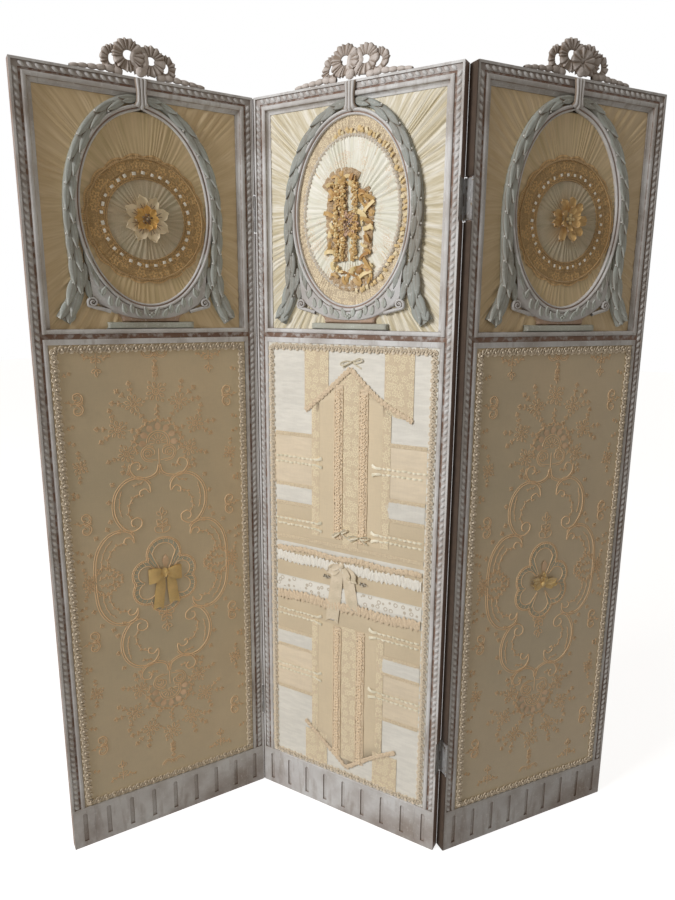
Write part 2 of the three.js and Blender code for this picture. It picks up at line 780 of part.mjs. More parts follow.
// Oval lace with a long ribbon wreath and a posy at its middle, for the centre leaf
function wreathMedallion() {
  const back = RELIEF_BACK;
  const face = back - medallion.thickness;
  const up = OVAL_CENTRE;
  const laceX = OVAL_HALF_WIDTH - medallion.rimGap;
  const laceUp = OVAL_HALF_HEIGHT - medallion.rimGap;
  const wreathX = medallion.wreathHalfWidth;
  const wreathUp = medallion.wreathHalfHeight;
  const band = medallion.wreathBand;
  return join([
    slab(roundOutline(0, up, laceX, laceUp, OVAL_STEPS), face, back),
    slab(
      roundOutline(0, up, wreathX, wreathUp, CREST_STEPS),
      face - medallion.wreathHeight,
      back,
      roundOutline(0, up, wreathX - band, wreathUp - band, CREST_STEPS),
    ),
    slab(petalOutline(up, medallion.wreathHalfWidth - band / 2, band / 4, PETALS, 4), face - medallion.heartHeight, back),
  ]);
}

const PANEL_OUT = HALF_WIDTH - BEAD_END - FIT;
const PANEL_LOW = BASE_HEIGHT + FIT;
const PANEL_HIGH = MID_RAIL_LOW - FIT;

function clothPanel() {
  return block(-PANEL_OUT, PANEL_OUT, PANEL_FRONT, PANEL_BACK, PANEL_LOW, PANEL_HIGH);
}

function rectangle(halfWidth, low, high) {
  return [[-halfWidth, low], [halfWidth, low], [halfWidth, high], [-halfWidth, high]];
}

function gimpBraid() {
  const outer = rectangle(PANEL_OUT - FIT, PANEL_LOW + FIT, PANEL_HIGH - FIT);
  const width = panel.gimpWidth;
  const inner = rectangle(PANEL_OUT - width, PANEL_LOW + width, PANEL_HIGH - width);
  return slab(outer, TRIM_BACK - panel.gimpHeight, TRIM_BACK, inner);
}

// Ribbon bow sewn on the cloth panel: two loops, two notched tails and a knot
function ribbonBow(size) {
  const up = (PANEL_LOW + PANEL_HIGH) / 2 + size.rise;
  const half = size.tailWidth / 2;
  const loops = [-1, 1].map((side) => slab([
    [0, up - ribbonKnot.radius],
    [0, up + ribbonKnot.radius],
    [side * size.loopWidth, up + size.loopHeight / 2],
    [side * size.loopWidth, up - size.loopHeight / 2],
  ], TRIM_BACK - size.height, TRIM_BACK));
  const tails = size.tails.map((length, which) => {
    const side = which ? 1 : -1;
    const foot = side * (size.spread + half / 2);
    return slab([
      [-half / 2, up],
      [half / 2, up],
      [foot + half, up - length],
      [foot, up - length + size.tailWidth * notchShare],
      [foot - half, up - length],
    ], TRIM_BACK - size.height / 2, TRIM_BACK);
  });
  const knot = slab(
    roundOutline(0, up, ribbonKnot.radius, ribbonKnot.radius, BARREL_SIDES),
    TRIM_BACK - ribbonKnot.height,
    TRIM_BACK,
  );
  return join([...loops, ...tails, knot]);
}

function backLining() {
  const inset = STILE_WIDTH - LINING_LAP + FIT;
  const reach = HALF_WIDTH - inset;
  const front = BACK - LINING_REBATE + FIT;
  return block(-reach, reach, front, front + lining.thickness, inset, LEAF_HEIGHT - inset);
}

// Heights of the three knuckles of a hinge, about its middle
const KNUCKLE_PITCH = hinge.height / KNUCKLES;
const knuckleSpan = (which) => {
  const middle = (which - (KNUCKLES - 1) / 2) * KNUCKLE_PITCH;
  const half = (KNUCKLE_PITCH - hinge.knuckleGap) / 2;
  return [middle - half, middle + half];
};
const END_KNUCKLES = [0, 2];
const MIDDLE_KNUCKLE = [1];

function barrel(y, [low, high], radius) {
  return column(roundOutline(0, y, radius, radius, BARREL_SIDES), low, high);
}

// Tabs and barrels that reach from a flat leaf of metal to the pin at y
function knuckles(xLow, xHigh, y, which) {
  return which.flatMap((knuckle) => {
    const [low, high] = knuckleSpan(knuckle);
    return [
      block(xLow, xHigh, Math.min(0, y), Math.max(0, y), low, high),
      barrel(y, [low, high], hinge.barrelRadius),
    ];
  });
}

const bore = (y) => barrel(y, [-hinge.height, hinge.height], hinge.boreRadius);

// Flat metal with knuckles at the front pin, the back pin or both
function hingeLeaf(xLow, xHigh, frontKnuckles, backKnuckles) {
  const reach = BACK - hinge.relief;
  const half = hinge.height / 2;
  const metal = join([
    block(xLow, xHigh, -reach, reach, -half, half),
    ...knuckles(xLow, xHigh, FRONT, frontKnuckles),
    ...knuckles(xLow, xHigh, BACK, backKnuckles),
  ]);
  return cut(metal, [bore(FRONT), bore(BACK)]);
}

function hingePlate(side, frontKnuckles, backKnuckles) {
  const near = side * JOINT_GAP / 2;
  const far = near + side * hinge.plate;
  return hingeLeaf(Math.min(near, far), Math.max(near, far), frontKnuckles, backKnuckles);
}

function hingeWeb() {
  return hingeLeaf(-hinge.web / 2, hinge.web / 2, MIDDLE_KNUCKLE, END_KNUCKLES);
}

function hingePin() {
  const half = hinge.height / 2 + FIT;
  const head = half + hinge.pinHead;
  const profile = [
    [0, -head], [hinge.pinHeadRadius, -head], [hinge.pinHeadRadius, -half], [hinge.pinRadius, -half],
    [hinge.pinRadius, half], [hinge.pinHeadRadius, half], [hinge.pinHeadRadius, head], [0, head],
  ].map(([radius, up]) => new THREE.Vector2(radius, up));
  return solidOf(new THREE.LatheGeometry(profile, PIN_SIDES).rotateX(Math.PI / 2));
}

function addPiece(group, name, solid, material, position = [0, 0, 0]) {
  const mesh = new THREE.Mesh(geometryOf(solid), material);
  mesh.name = name;
  mesh.position.set(...position);
  group.add(mesh);
}

// One leaf about its own middle, with hinges cut in the edges named
function buildLeaf(name, hingedSides) {
  const leaf = new THREE.Group();
  const centre = name === 'centre';
  const add = (piece, solid, material) => addPiece(leaf, `${name}_${piece}`, solid, material);
  add('stile_left', stile(-1, hingedSides.includes(-1)), finishes.paint());
  add('stile_right', stile(1, hingedSides.includes(1)), finishes.paint());
  add('top_rail', topRail(), finishes.paint());
  add('mid_rail', midRailSolid(), finishes.paint());
  add('base_rail', baseRail(), finishes.paint());
  add('oval_frame', ovalFrame(), finishes.carvedPaint());
  add('crest_bow', crestBow(), finishes.crestPaint());
  add('gathered_silk', gatheredSilk(), centre ? finishes.paleSilk() : finishes.shadedSilk());
  add('medallion', centre ? wreathMedallion() : laceMedallion(), centre ? finishes.paleLace() : finishes.lace());
  add('cloth_panel', clothPanel(), centre ? finishes.patchwork() : finishes.satin());
  add('gimp_braid', gimpBraid(), finishes.gimp());
  add('ribbon_bow', ribbonBow(ribbons[name]), finishes.ribbon());
  add('back_lining', backLining(), finishes.lining());
  return leaf;
}

// Plates of both hinges on one edge of a leaf
function addPlates(leaf, name, side, frontKnuckles, backKnuckles) {
  ['upper', 'lower'].forEach((level, which) => {
    const plate = hingePlate(-side, frontKnuckles, backKnuckles);
    addPiece(leaf, `${name}_${level}_plate`, plate, finishes.hingeSteel(), [side * AXIS_OUT, 0, HINGE_HEIGHTS[which]]);
  });
}

// Webs and pins between two leaves, about the back pins
function buildLink(name) {
  const link = new THREE.Group();
  const middle = -LEAF_THICKNESS / 2;
  ['upper', 'lower'].forEach((level, which) => {
    const height = HINGE_HEIGHTS[which];
    addPiece(link, `${name}_${level}_web`, hingeWeb(), finishes.hingeSteel(), [0, middle, height]);
    addPiece(link, `${name}_${level}_front_pin`, hingePin(), finishes.hingeSteel(), [0, middle + FRONT, height]);
    addPiece(link, `${name}_${level}_back_pin`, hingePin(), finishes.hingeSteel(), [0, middle + BACK, height]);
  });
  return link;
}

const screen = new THREE.Group();

const centreLeaf = buildLeaf('centre', [-1, 1]);
addPlates(centreLeaf, 'left_hinge_centre', -1, [], MIDDLE_KNUCKLE);
addPlates(centreLeaf, 'right_hinge_centre', 1, [], MIDDLE_KNUCKLE);
screen.add(centreLeaf);

const leftLeaf = buildLeaf('left', [1]);
addPlates(leftLeaf, 'left_hinge_outer', 1, END_KNUCKLES, []);
const rightLeaf = buildLeaf('right', [-1]);
addPlates(rightLeaf, 'right_hinge_outer', -1, END_KNUCKLES, []);

// A joint turns its link about the back pins and its leaf about the front pins
function addJoint(name, side, leaf, backTurn, frontTurn) {
  const link = buildLink(name);
  link.position.set(side * AXIS_OUT, BACK, 0);
  link.rotation.z = backTurn;
  const swing = new THREE.Group();
  swing.position.set(0, -LEAF_THICKNESS, 0);
  swing.rotation.z = frontTurn;
  leaf.position.set(side * AXIS_OUT, BACK, 0);
  swing.add(leaf);
  link.add(swing);
  screen.add(link);
}

addJoint('left_hinge', -1, leftLeaf, 0, LEFT_FOLD);
addJoint('right_hinge', 1, rightLeaf, RIGHT_FOLD, 0);

export default screen;
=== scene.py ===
"""Three-leaf folding screen of painted wood with gathered silk, medallions and cloth panels."""
import random
from math import atan2, copysign, cos, degrees, exp, pi, radians, sin, sqrt, tau

import bmesh
import bpy
from bpy.props import FloatProperty, FloatVectorProperty, IntProperty, PointerProperty
from mathutils import Matrix, Vector, noise
from mathutils.geometry import interpolate_bezier


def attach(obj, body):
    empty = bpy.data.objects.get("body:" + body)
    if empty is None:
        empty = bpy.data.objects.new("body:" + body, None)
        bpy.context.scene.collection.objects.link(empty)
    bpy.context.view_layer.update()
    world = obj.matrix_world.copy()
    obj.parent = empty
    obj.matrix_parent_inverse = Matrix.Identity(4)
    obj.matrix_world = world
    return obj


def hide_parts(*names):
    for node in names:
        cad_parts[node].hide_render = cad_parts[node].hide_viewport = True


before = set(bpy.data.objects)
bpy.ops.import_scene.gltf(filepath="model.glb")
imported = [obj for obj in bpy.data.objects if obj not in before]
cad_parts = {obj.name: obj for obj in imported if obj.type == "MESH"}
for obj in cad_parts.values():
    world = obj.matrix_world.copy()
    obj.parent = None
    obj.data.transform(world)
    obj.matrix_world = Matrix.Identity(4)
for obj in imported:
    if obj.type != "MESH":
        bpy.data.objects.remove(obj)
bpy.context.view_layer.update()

bl_info = {
    "name": "Folding screen",
    "version": (1, 0, 0),
    "blender": (4, 5, 0),
    "location": "View3D > Sidebar > Screen",
    "description": "Dresses a three-leaf folding screen in painted wood, silk, lace and braid",
    "category": "Object",
}

# Places of the leaves, in metres, and their turns
MM = 0.001
LEAVES = {
    "left": ((-0.36815, -0.21816, 0.0), radians(61.3)),
    "centre": ((0.0, 0.0, 0.0), 0.0),
    "right": ((0.39067, 0.2025, 0.0), radians(54.8)),
}
OUTER_LEAVES = ("left", "right")

# Sizes of one leaf in millimetres, from its own middle, floor and front face
HALF_WIDTH = 240.0
HEIGHT = 1680.0
FRONT = -12.0
BASE_HEIGHT = 100.0
CHANNEL_MIDDLE = 10.0
CHANNEL_FLOOR = -9.0
SILK_HALF_WIDTH = 202.7
SILK_LOW = 1190.3
SILK_HIGH = 1642.7
SILK_FACE = 0.6
RELIEF_BACK = -0.7
OVAL_CENTRE = 1429.7
OVAL_HALF_WIDTH = 130.0
OVAL_HALF_HEIGHT = 187.7
MOULDING_WIDTH = 13.0
LACE_CENTRE = 1411.7
PANEL_HALF_WIDTH = 210.7
PANEL_LOW = 100.3
PANEL_HIGH = 1158.7
PANEL_FACE = -9.2
PANEL_MIDDLE = 640.5
GIMP_MIDDLE_X = 201.5
GIMP_LOW = 109.4
GIMP_HIGH = 1149.6


def srgb(red, green, blue):
    """The linear colour of one that is written from 0 to 255."""
    shares = [value / 255 for value in (red, green, blue)]
    return tuple(s / 12.92 if s <= 0.04045 else ((s + 0.055) / 1.055) ** 2.4 for s in shares)


def rgb(red, green, blue):
    """The same with full cover."""
    return (*srgb(red, green, blue), 1.0)


def colour_property(name, description, red, green, blue):
    return FloatVectorProperty(
        name=name, description=description, default=srgb(red, green, blue), size=3, min=0.0, max=1.0,
        subtype="COLOR",
    )


def length_property(name, description, millimetres):
    return FloatProperty(
        name=name, description=description, default=millimetres * MM, min=0.0, soft_max=0.1, unit="LENGTH",
    )


class ScreenSizes(bpy.types.PropertyGroup):
    """Sizes of the parts that repeat"""

    carving_pitch: length_property("Carving pitch", "Distance between the beans of the carved channel", 14.3)
    leaf_pitch: length_property("Laurel pitch", "Distance between the laurel leaves of a row", 46)
    fold_depth: length_property("Fold depth", "Depth of the folds in the gathered silk", 4.0)
    gimp_pitch: length_property("Braid pitch", "Distance between the eyes of the looped braid", 18.5)
    cord_width: length_property("Cord width", "Width of the cords sewn on the satin", 2.7)
    fold_count: IntProperty(
        name="Folds", description="Folds round the gathered silk", default=104, min=20, max=240,
    )


class ScreenColours(bpy.types.PropertyGroup):
    """Colours of the finishes"""

    paint: colour_property("Paint", "Grey paint of the frames", 228, 228, 227)
    carving: colour_property("Carving paint", "Green grey paint of the ovals", 200, 207, 200)
    crest: colour_property("Crest paint", "Paint of the bows on top", 226, 217, 210)
    # The grime colour also paints shade into hollows and creases.
    grime_and_shade: colour_property("Grime and shade", "Old dirt in the hollows", 128, 106, 84)
    primer: colour_property("Undercoat", "Brown undercoat in grooves and flutes", 140, 108, 88)
    silk: colour_property("Silk", "Gathered silk of the outer leaves", 232, 208, 166)
    pale_silk: colour_property("Pale silk", "Gathered silk of the centre leaf", 242, 236, 218)
    satin: colour_property("Satin", "Satin of the outer panels", 233, 213, 178)
    cord: colour_property("Cord", "Cord sewn on the satin", 255, 218, 170)
    petal: colour_property("Petal", "Filled petals on the satin", 255, 218, 176)
    window: colour_property("Window cloth", "Cloth in the openings of the cutwork", 208, 202, 176)
    gold_lace: colour_property("Gold lace", "Gold lace of the round medallions", 224, 186, 128)
    pale_lace: colour_property("Pale lace", "Lace edging", 228, 192, 138)
    net: colour_property("Net", "Grey net of the round medallions", 216, 202, 174)
    cream: colour_property("Cream", "Cream ribbon and petals", 250, 232, 196)
    gold: colour_property("Gold", "Gold ribbon and petals", 234, 186, 102)
    white: colour_property("White silk", "White silk of the centre leaf", 244, 241, 230)
    peach: colour_property("Peach silk", "Peach bands of the centre panel", 242, 226, 198)
    olive: colour_property("Olive cloth", "Olive cloth of the centre panel", 222, 205, 174)
    tan: colour_property("Tan lace", "Tan lace of the centre panel", 238, 216, 184)
    gimp: colour_property("Braid", "Looped braid round the panels", 246, 232, 208)
    lining: colour_property("Lining", "Linen on the back", 196, 180, 150)


def sizes():
    return bpy.context.scene.screen_sizes


def colour(name):
    return (*getattr(bpy.context.scene.screen_colours, name), 1.0)


def tinted(name, share):
    """A colour of the list made darker or lighter by a share."""
    return (*[min(1.0, value * share) for value in colour(name)[:3]], 1.0)


# Shader building
class Shader:
    """Adds nodes to one node tree."""

    def __init__(self, tree):
        self.tree = tree

    def add(self, kind, inputs=None, **settings):
        made = self.tree.nodes.new(kind if kind.startswith("Node") else "ShaderNode" + kind)
        for name, value in settings.items():
            setattr(made, name, value)
        for key, value in (inputs or {}).items():
            if isinstance(value, bpy.types.NodeSocket):
                self.tree.links.new(value, made.inputs[key])
            else:
                made.inputs[key].default_value = value
        return made

    def link(self, value, socket):
        self.tree.links.new(value, socket)

    def math(self, operation, first, second=0.0):
        return self.add("Math", {0: first, 1: second}, operation=operation, use_clamp=False).outputs[0]

    def times(self, first, second):
        return self.math("MULTIPLY", first, second)

    def plus(self, first, second):
        return self.math("ADD", first, second)

    def minus(self, first, second):
        return self.math("SUBTRACT", first, second)

    def most(self, first, second):
        return self.math("MAXIMUM", first, second)

    def mix(self, factor, first, second, blend="MIX"):
        made = self.add("Mix", {0: factor, 6: first, 7: second}, data_type="RGBA", blend_type=blend)
        return made.outputs[2]

    def remap(self, value, low, high, to_low=0.0, to_high=1.0):
        limits = {"Value": value, "From Min": low, "From Max": high, "To Min": to_low, "To Max": to_high}
        return self.add("MapRange", limits).outputs["Result"]

    def noise(self, vector, scale, detail=2.0):
        return self.add("TexNoise", {"Vector": vector, "Scale": scale, "Detail": detail}).outputs["Fac"]

    def stretched(self, vector, scale):
        return self.add("Mapping", {"Vector": vector, "Scale": scale}).outputs["Vector"]

    def group(self, name, inputs):
        return self.add("Group", inputs, node_tree=bpy.data.node_groups[name]).outputs

    def here(self):
        """Coordinates of the object, in metres."""
        return self.add("TexCoord").outputs["Object"]

    def own_map(self):
        """The piece's own map."""
        return self.add("UVMap", uv_map="UVMap").outputs["UV"]

    def split(self, vector):
        return self.add("SeparateXYZ", {0: vector}).outputs

    def shade(self, red, green=None, blue=None):
        """A colour of three values, or a grey of one."""
        green = red if green is None else green
        blue = red if blue is None else blue
        return self.add("CombineColor", {0: red, 1: green, 2: blue}).outputs[0]


def new_group(name, inputs, outputs):
    """A node group with named sockets, as (shader, input node, output node)."""
    tree = bpy.data.node_groups.new(name, "ShaderNodeTree")
    for label, kind, default in inputs:
        socket = tree.interface.new_socket(label, in_out="INPUT", socket_type="NodeSocket" + kind)
        if default is not None:
            socket.default_value = default
    for label, kind in outputs:
        tree.interface.new_socket(label, in_out="OUTPUT", socket_type="NodeSocket" + kind)
    shader = Shader(tree)
    return shader, shader.add("NodeGroupInput").outputs, shader.add("NodeGroupOutput").inputs


def make_worn_paint_group():
    """Chalky paint with patches, hollows darkened by old soiling and painted shade, and edges lightened by
    rubbing and painted highlight.
    """
    shader, given, result = new_group(
        "Worn paint",
        [
            ("Vector", "Vector", None),
            ("Paint", "Color", (0.6, 0.6, 0.6, 1)),
            ("Grime and shade", "Color", (0.2, 0.15, 0.1, 1)),
            ("Patches", "Float", 0.4),
            ("Hollows", "Float", 0.8),
            ("Reach", "Float", 0.008),
        ],
        [("Colour", "Color"), ("Roughness", "Float"), ("Height", "Float")],
    )
    place = given["Vector"]
    broad = shader.remap(shader.noise(place, 9.0, 4.0), 0.44, 0.7)
    streaks = shader.remap(shader.noise(shader.stretched(place, (1.0, 1.0, 0.22)), 55.0, 3.0), 0.52, 0.78)
    specks = shader.remap(shader.noise(place, 190.0, 3.0), 0.58, 0.72)
    patch = shader.times(shader.most(broad, streaks), given["Patches"])
    base = shader.mix(patch, given["Paint"], given["Grime and shade"])
    speckled = shader.mix(shader.times(specks, 0.35), base, (0.92, 0.93, 0.93, 1))
    # Painted shade: hollows found by occlusion and the mesh's hollow values are darkened with the grime
    # colour, together with old soiling.
    shade = shader.add("AmbientOcclusion", {"Distance": given["Reach"]}, samples=6, only_local=True)
    hollow = shader.remap(shade.outputs["AO"], 0.9, 0.35)
    carved = shader.add("Attribute", attribute_name="hollow").outputs["Fac"]
    dirt_and_shade = shader.times(shader.most(hollow, carved), given["Hollows"])
    dirtied_and_shaded = shader.mix(dirt_and_shade, speckled, given["Grime and shade"])
    # Painted highlight, partly rubbed paint: convex edges away from the hollows are lightened towards near
    # white.
    normal = shader.add("NewGeometry").outputs["Normal"]
    rounded = shader.add("Bevel", {"Radius": 0.0012}, samples=3).outputs["Normal"]
    turned = shader.add("VectorMath", {0: normal, 1: rounded}, operation="DOT_PRODUCT").outputs["Value"]
    edge = shader.times(shader.remap(turned, 0.985, 0.86), shader.remap(hollow, 0.5, 0.0))
    rubbed_and_highlit = shader.times(edge, shader.remap(shader.noise(place, 70.0), 0.4, 0.6))
    shader.link(
        shader.mix(shader.times(rubbed_and_highlit, 0.6), dirtied_and_shaded, (0.92, 0.93, 0.93, 1)), result["Colour"]
    )
    shader.link(shader.remap(broad, 0.0, 1.0, 0.58, 0.78), result["Roughness"])
    shader.link(shader.noise(place, 320.0, 4.0), result["Height"])


def make_weave_group():
    """Crossing threads with slubs, for cloth laid along X and Z."""
    shader, given, result = new_group(
        "Woven threads",
        [("Vector", "Vector", None), ("Threads", "Float", 1400.0), ("Colour", "Color", (0.8, 0.8, 0.8, 1))],
        [("Colour", "Color"), ("Height", "Float")],
    )
    place = given["Vector"]
    turns = shader.times(given["Threads"], 1 / tau)
    warp = shader.add(
        "TexWave", {"Vector": place, "Scale": turns, "Distortion": 0.6}, bands_direction="X",
    ).outputs["Fac"]
    weft = shader.add(
        "TexWave", {"Vector": place, "Scale": turns, "Distortion": 0.6}, bands_direction="Z",
    ).outputs["Fac"]
    threads = shader.most(warp, weft)
    slub = shader.noise(shader.stretched(place, (0.12, 1.0, 1.0)), 420.0, 2.0)
    cross = shader.noise(shader.stretched(place, (1.0, 1.0, 0.12)), 420.0, 2.0)
    uneven = shader.plus(shader.times(slub, 0.5), shader.times(cross, 0.5))
    age = shader.noise(place, 7.0, 3.0)
    light = shader.remap(uneven, 0.3, 0.7, 0.96, 1.03)
    aged = shader.remap(age, 0.35, 0.7, 1.03, 0.93)
    level = shader.times(light, aged)
    grey = shader.shade(level)
    shader.link(shader.mix(1.0, given["Colour"], grey, "MULTIPLY"), result["Colour"])
    shader.link(shader.plus(threads, shader.times(uneven, 2.0)), result["Height"])


def make_lace_group():
    """Net with small flowers and a thicker thread round them, laid along X and Z."""
    shader, given, result = new_group(
        "Lace",
        [
            ("Vector", "Vector", None),
            ("Motifs", "Float", 45.0),
            ("Thread", "Color", (0.8, 0.7, 0.5, 1)),
            ("Ground", "Color", (0.5, 0.4, 0.3, 1)),
        ],
        [("Colour", "Color"), ("Height", "Float"), ("Cover", "Float")],
    )
    spot = shader.split(given["Vector"])
    flat = shader.add("CombineXYZ", {0: spot["X"], 1: spot["Z"]}).outputs[0]
    place = shader.add("VectorMath", {0: flat, "Scale": given["Motifs"]}, operation="SCALE").outputs["Vector"]
    flowers = shader.add(
        "TexVoronoi", {"Vector": place, "Scale": 1.0, "Randomness": 0.6}, voronoi_dimensions="2D",
    )
    ends = {0: place, 1: flowers.outputs["Position"]}
    offset = shader.add("VectorMath", ends, operation="SUBTRACT").outputs[0]
    parts = shader.split(offset)
    angle = shader.math("ARCTAN2", parts["Y"], parts["X"])
    lobes = shader.times(shader.math("SINE", shader.times(angle, 6.0)), 0.08)
    reach = shader.plus(flowers.outputs["Distance"], lobes)
    petals = shader.remap(shader.math("ABSOLUTE", shader.minus(reach, 0.31)), 0.11, 0.04)
    heart = shader.remap(flowers.outputs["Distance"], 0.14, 0.08)
    motif = shader.most(petals, heart)
    holes = shader.add(
        "TexVoronoi", {"Vector": flat, "Scale": 520.0, "Randomness": 0.5}, feature="DISTANCE_TO_EDGE",
        voronoi_dimensions="2D",
    ).outputs["Distance"]
    net = shader.remap(holes, 0.2, 0.07)
    vines = shader.noise(flat, 190.0, 2.0)
    stems = shader.remap(shader.math("ABSOLUTE", shader.minus(vines, 0.5)), 0.035, 0.012)
    cover = shader.most(motif, shader.times(net, 0.4))
    cover = shader.most(cover, shader.times(stems, 0.8))
    shader.link(shader.mix(cover, given["Ground"], given["Thread"]), result["Colour"])
    shader.link(cover, result["Height"])
    shader.link(shader.most(motif, stems), result["Cover"])


def make_gather_group():
    """Fine gathers, each across the U of a piece's own map and running along its V."""
    shader, given, result = new_group(
        "Gathers",
        [("Count", "Float", 60.0), ("Colour", "Color", (0.8, 0.8, 0.8, 1)), ("Shade", "Float", 0.2)],
        [("Colour", "Color"), ("Height", "Float")],
    )
    flat = shader.own_map()
    parts = shader.split(flat)
    across = shader.times(parts["X"], given["Count"])
    place = shader.add("CombineXYZ", {0: across, 1: shader.times(parts["Y"], 1.4)}).outputs[0]
    coarse = shader.noise(place, 1.0, 2.0)
    fine = shader.noise(place, 2.7, 2.0)
    height = shader.plus(coarse, shader.times(fine, 0.5))
    # Painted shade: the colour darkens and warms in the valleys of the gathers.
    dark = shader.times(shader.remap(height, 0.95, 0.55), given["Shade"])
    level = shader.minus(1.0, dark)
    warm = shader.math("POWER", level, 1.5)
    grey = shader.shade(level, level, warm)
    shader.link(shader.mix(1.0, given["Colour"], grey, "MULTIPLY"), result["Colour"])
    shader.link(height, result["Height"])


def start_material(name):
    """A material as (material, shader, its surface node)."""
    made = bpy.data.materials.new(name)
    made.use_nodes = True
    shader = Shader(made.node_tree)
    return made, shader, made.node_tree.nodes["Principled BSDF"]


def finish_material(shader, surface, roughness, base, height=None, strength=0.3, distance=0.0006, **numbers):
    """Joins a colour and a height to the surface and sets its plain numbers."""
    shader.link(base, surface.inputs["Base Color"])
    if isinstance(roughness, bpy.types.NodeSocket):
        shader.link(roughness, surface.inputs["Roughness"])
    else:
        surface.inputs["Roughness"].default_value = roughness
    if height is not None:
        bump = shader.add("Bump", {"Height": height, "Strength": strength, "Distance": distance})
        shader.link(bump.outputs["Normal"], surface.inputs["Normal"])
    for label, value in numbers.items():
        surface.inputs[label.replace("_", " ")].default_value = value


def leaf_place(shader, leaf):
    """Coordinates in metres from a leaf's own middle, floor and centre plane."""
    place, turn = LEAVES[leaf]
    coordinates = shader.here()
    return shader.add(
        "Mapping", {"Vector": coordinates, "Location": place, "Rotation": (0, 0, turn)}, vector_type="TEXTURE"
    ).outputs["Vector"]


def once(build):
    """A material builder that gives back what it has made under the same name."""
    return lambda name, *values, **options: (
        bpy.data.materials.get(name) or build(name, *values, **options)
    )


@once
def frame_paint(name, leaf):
    """Paint of the stiles and rails, with brown undercoat in what is cut into them, and on the side faces as
    wear and painted shade.
    """
    made, shader, surface = start_material(name)
    place = leaf_place(shader, leaf)
    # The right leaf's darker paint is painted shade.
    share = 0.8 if leaf == "right" else 0.97
    paint = shader.group(
        "Worn paint",
        {"Vector": place, "Paint": tinted("paint", share), "Grime and shade": colour("grime_and_shade"), "Patches": 0.6},
    )
    parts = shader.split(place)
    depth = shader.plus(parts["Y"], -FRONT * MM)
    groove = shader.times(shader.remap(depth, 0.0031, 0.0038), shader.remap(depth, 0.0049, 0.0043))
    channel = shader.times(shader.remap(depth, 0.0014, 0.0028), shader.remap(depth, 0.0036, 0.0031))
    cut = shader.most(groove, shader.times(channel, 0.45))
    above = shader.remap(parts["Z"], 0.098, 0.102, 0.3, 1.0)
    left_paint = shader.remap(shader.noise(place, 85.0, 4.0), 0.46, 0.62)
    bare = shader.times(cut, shader.minus(1.0, shader.times(left_paint, 0.6)))
    bare = shader.times(bare, above)
    # Side faces of the stiles take the undercoat: partly wear, partly painted shade.
    outer = shader.remap(shader.math("ABSOLUTE", parts["X"]), 0.2394, 0.2398)
    edge = shader.times(outer, shader.remap(depth, 0.0, 0.004, 0.25, 0.9))
    bare = shader.most(bare, edge)
    scuffed = shader.remap(parts["Z"], 0.115, 0.0, 0.0, 0.55)
    scuffed = shader.times(scuffed, shader.remap(shader.noise(place, 14.0, 4.0), 0.35, 0.7))
    bare = shader.most(bare, scuffed)
    undercoat = shader.mix(shader.noise(place, 30.0), colour("primer"), tinted("primer", 0.5))
    base = shader.mix(bare, paint["Colour"], undercoat)
    finish_material(shader, surface, paint["Roughness"], base, paint["Height"], 0.25)
    return made


@once
def carved_paint(name, paint, patches, hollows, reach):
    """Paint of carved pieces, with old soiling and painted shade in the hollows."""
    made, shader, surface = start_material(name)
    place = shader.here()
    worn = shader.group(
        "Worn paint",
        {
            "Vector": place, "Paint": paint, "Grime and shade": colour("grime_and_shade"), "Patches": patches, "Hollows": hollows,
            "Reach": reach,
        },
    )
    finish_material(shader, surface, worn["Roughness"], worn["Colour"], worn["Height"], 0.25)
    return made


@once
def woven_cloth(name, leaf, base, roughness=0.55, sheen=0.25, threads=1400.0, strength=0.25, creases=0.0):
    """Cloth whose threads lie along the leaf, with soft creases across it where they are asked for."""
    made, shader, surface = start_material(name)
    place = leaf_place(shader, leaf)
    weave = shader.group("Woven threads", {"Vector": place, "Threads": threads, "Colour": base})
    height = weave["Height"]
    base = weave["Colour"]
    if creases:
        long = shader.noise(shader.stretched(place, (0.35, 1.0, 1.6)), 70.0, 2.0)
        height = shader.plus(height, shader.times(long, 14.0 * creases))
        # Painted shade: the colour darkens a little in the creases.
        grey = shader.remap(long, 0.42, 0.6, 1.0 - 0.07 * creases, 1.0)
        grey = shader.shade(grey)
        base = shader.mix(1.0, base, grey, "MULTIPLY")
    finish_material(shader, surface, roughness, base, height, strength, 0.0003, Sheen_Weight=sheen)
    return made


@once
def gathered_cloth(name, base, count, shade=0.25, roughness=0.5, sheen=0.3, strength=0.6):
    """Cloth with fine gathers that follow the piece's own map."""
    made, shader, surface = start_material(name)
    folds = shader.group("Gathers", {"Count": count, "Colour": base, "Shade": shade})
    place = shader.here()
    threads = shader.noise(place, 900.0, 2.0)
    height = shader.plus(folds["Height"], shader.times(threads, 0.15))
    finish_material(
        shader, surface, roughness, folds["Colour"], height, strength, 0.0015, Sheen_Weight=sheen,
    )
    return made


@once
def lace_cloth(name, leaf, thread, ground, motifs, roughness=0.75):
    """Lace laid over cloth, with its motifs standing up a little."""
    made, shader, surface = start_material(name)
    lace = shader.group(
        "Lace", {"Vector": leaf_place(shader, leaf), "Motifs": motifs, "Thread": thread, "Ground": ground}
    )
    finish_material(
        shader, surface, roughness, lace["Colour"], lace["Height"], 0.7, 0.0009, Sheen_Weight=0.15,
    )
    return made


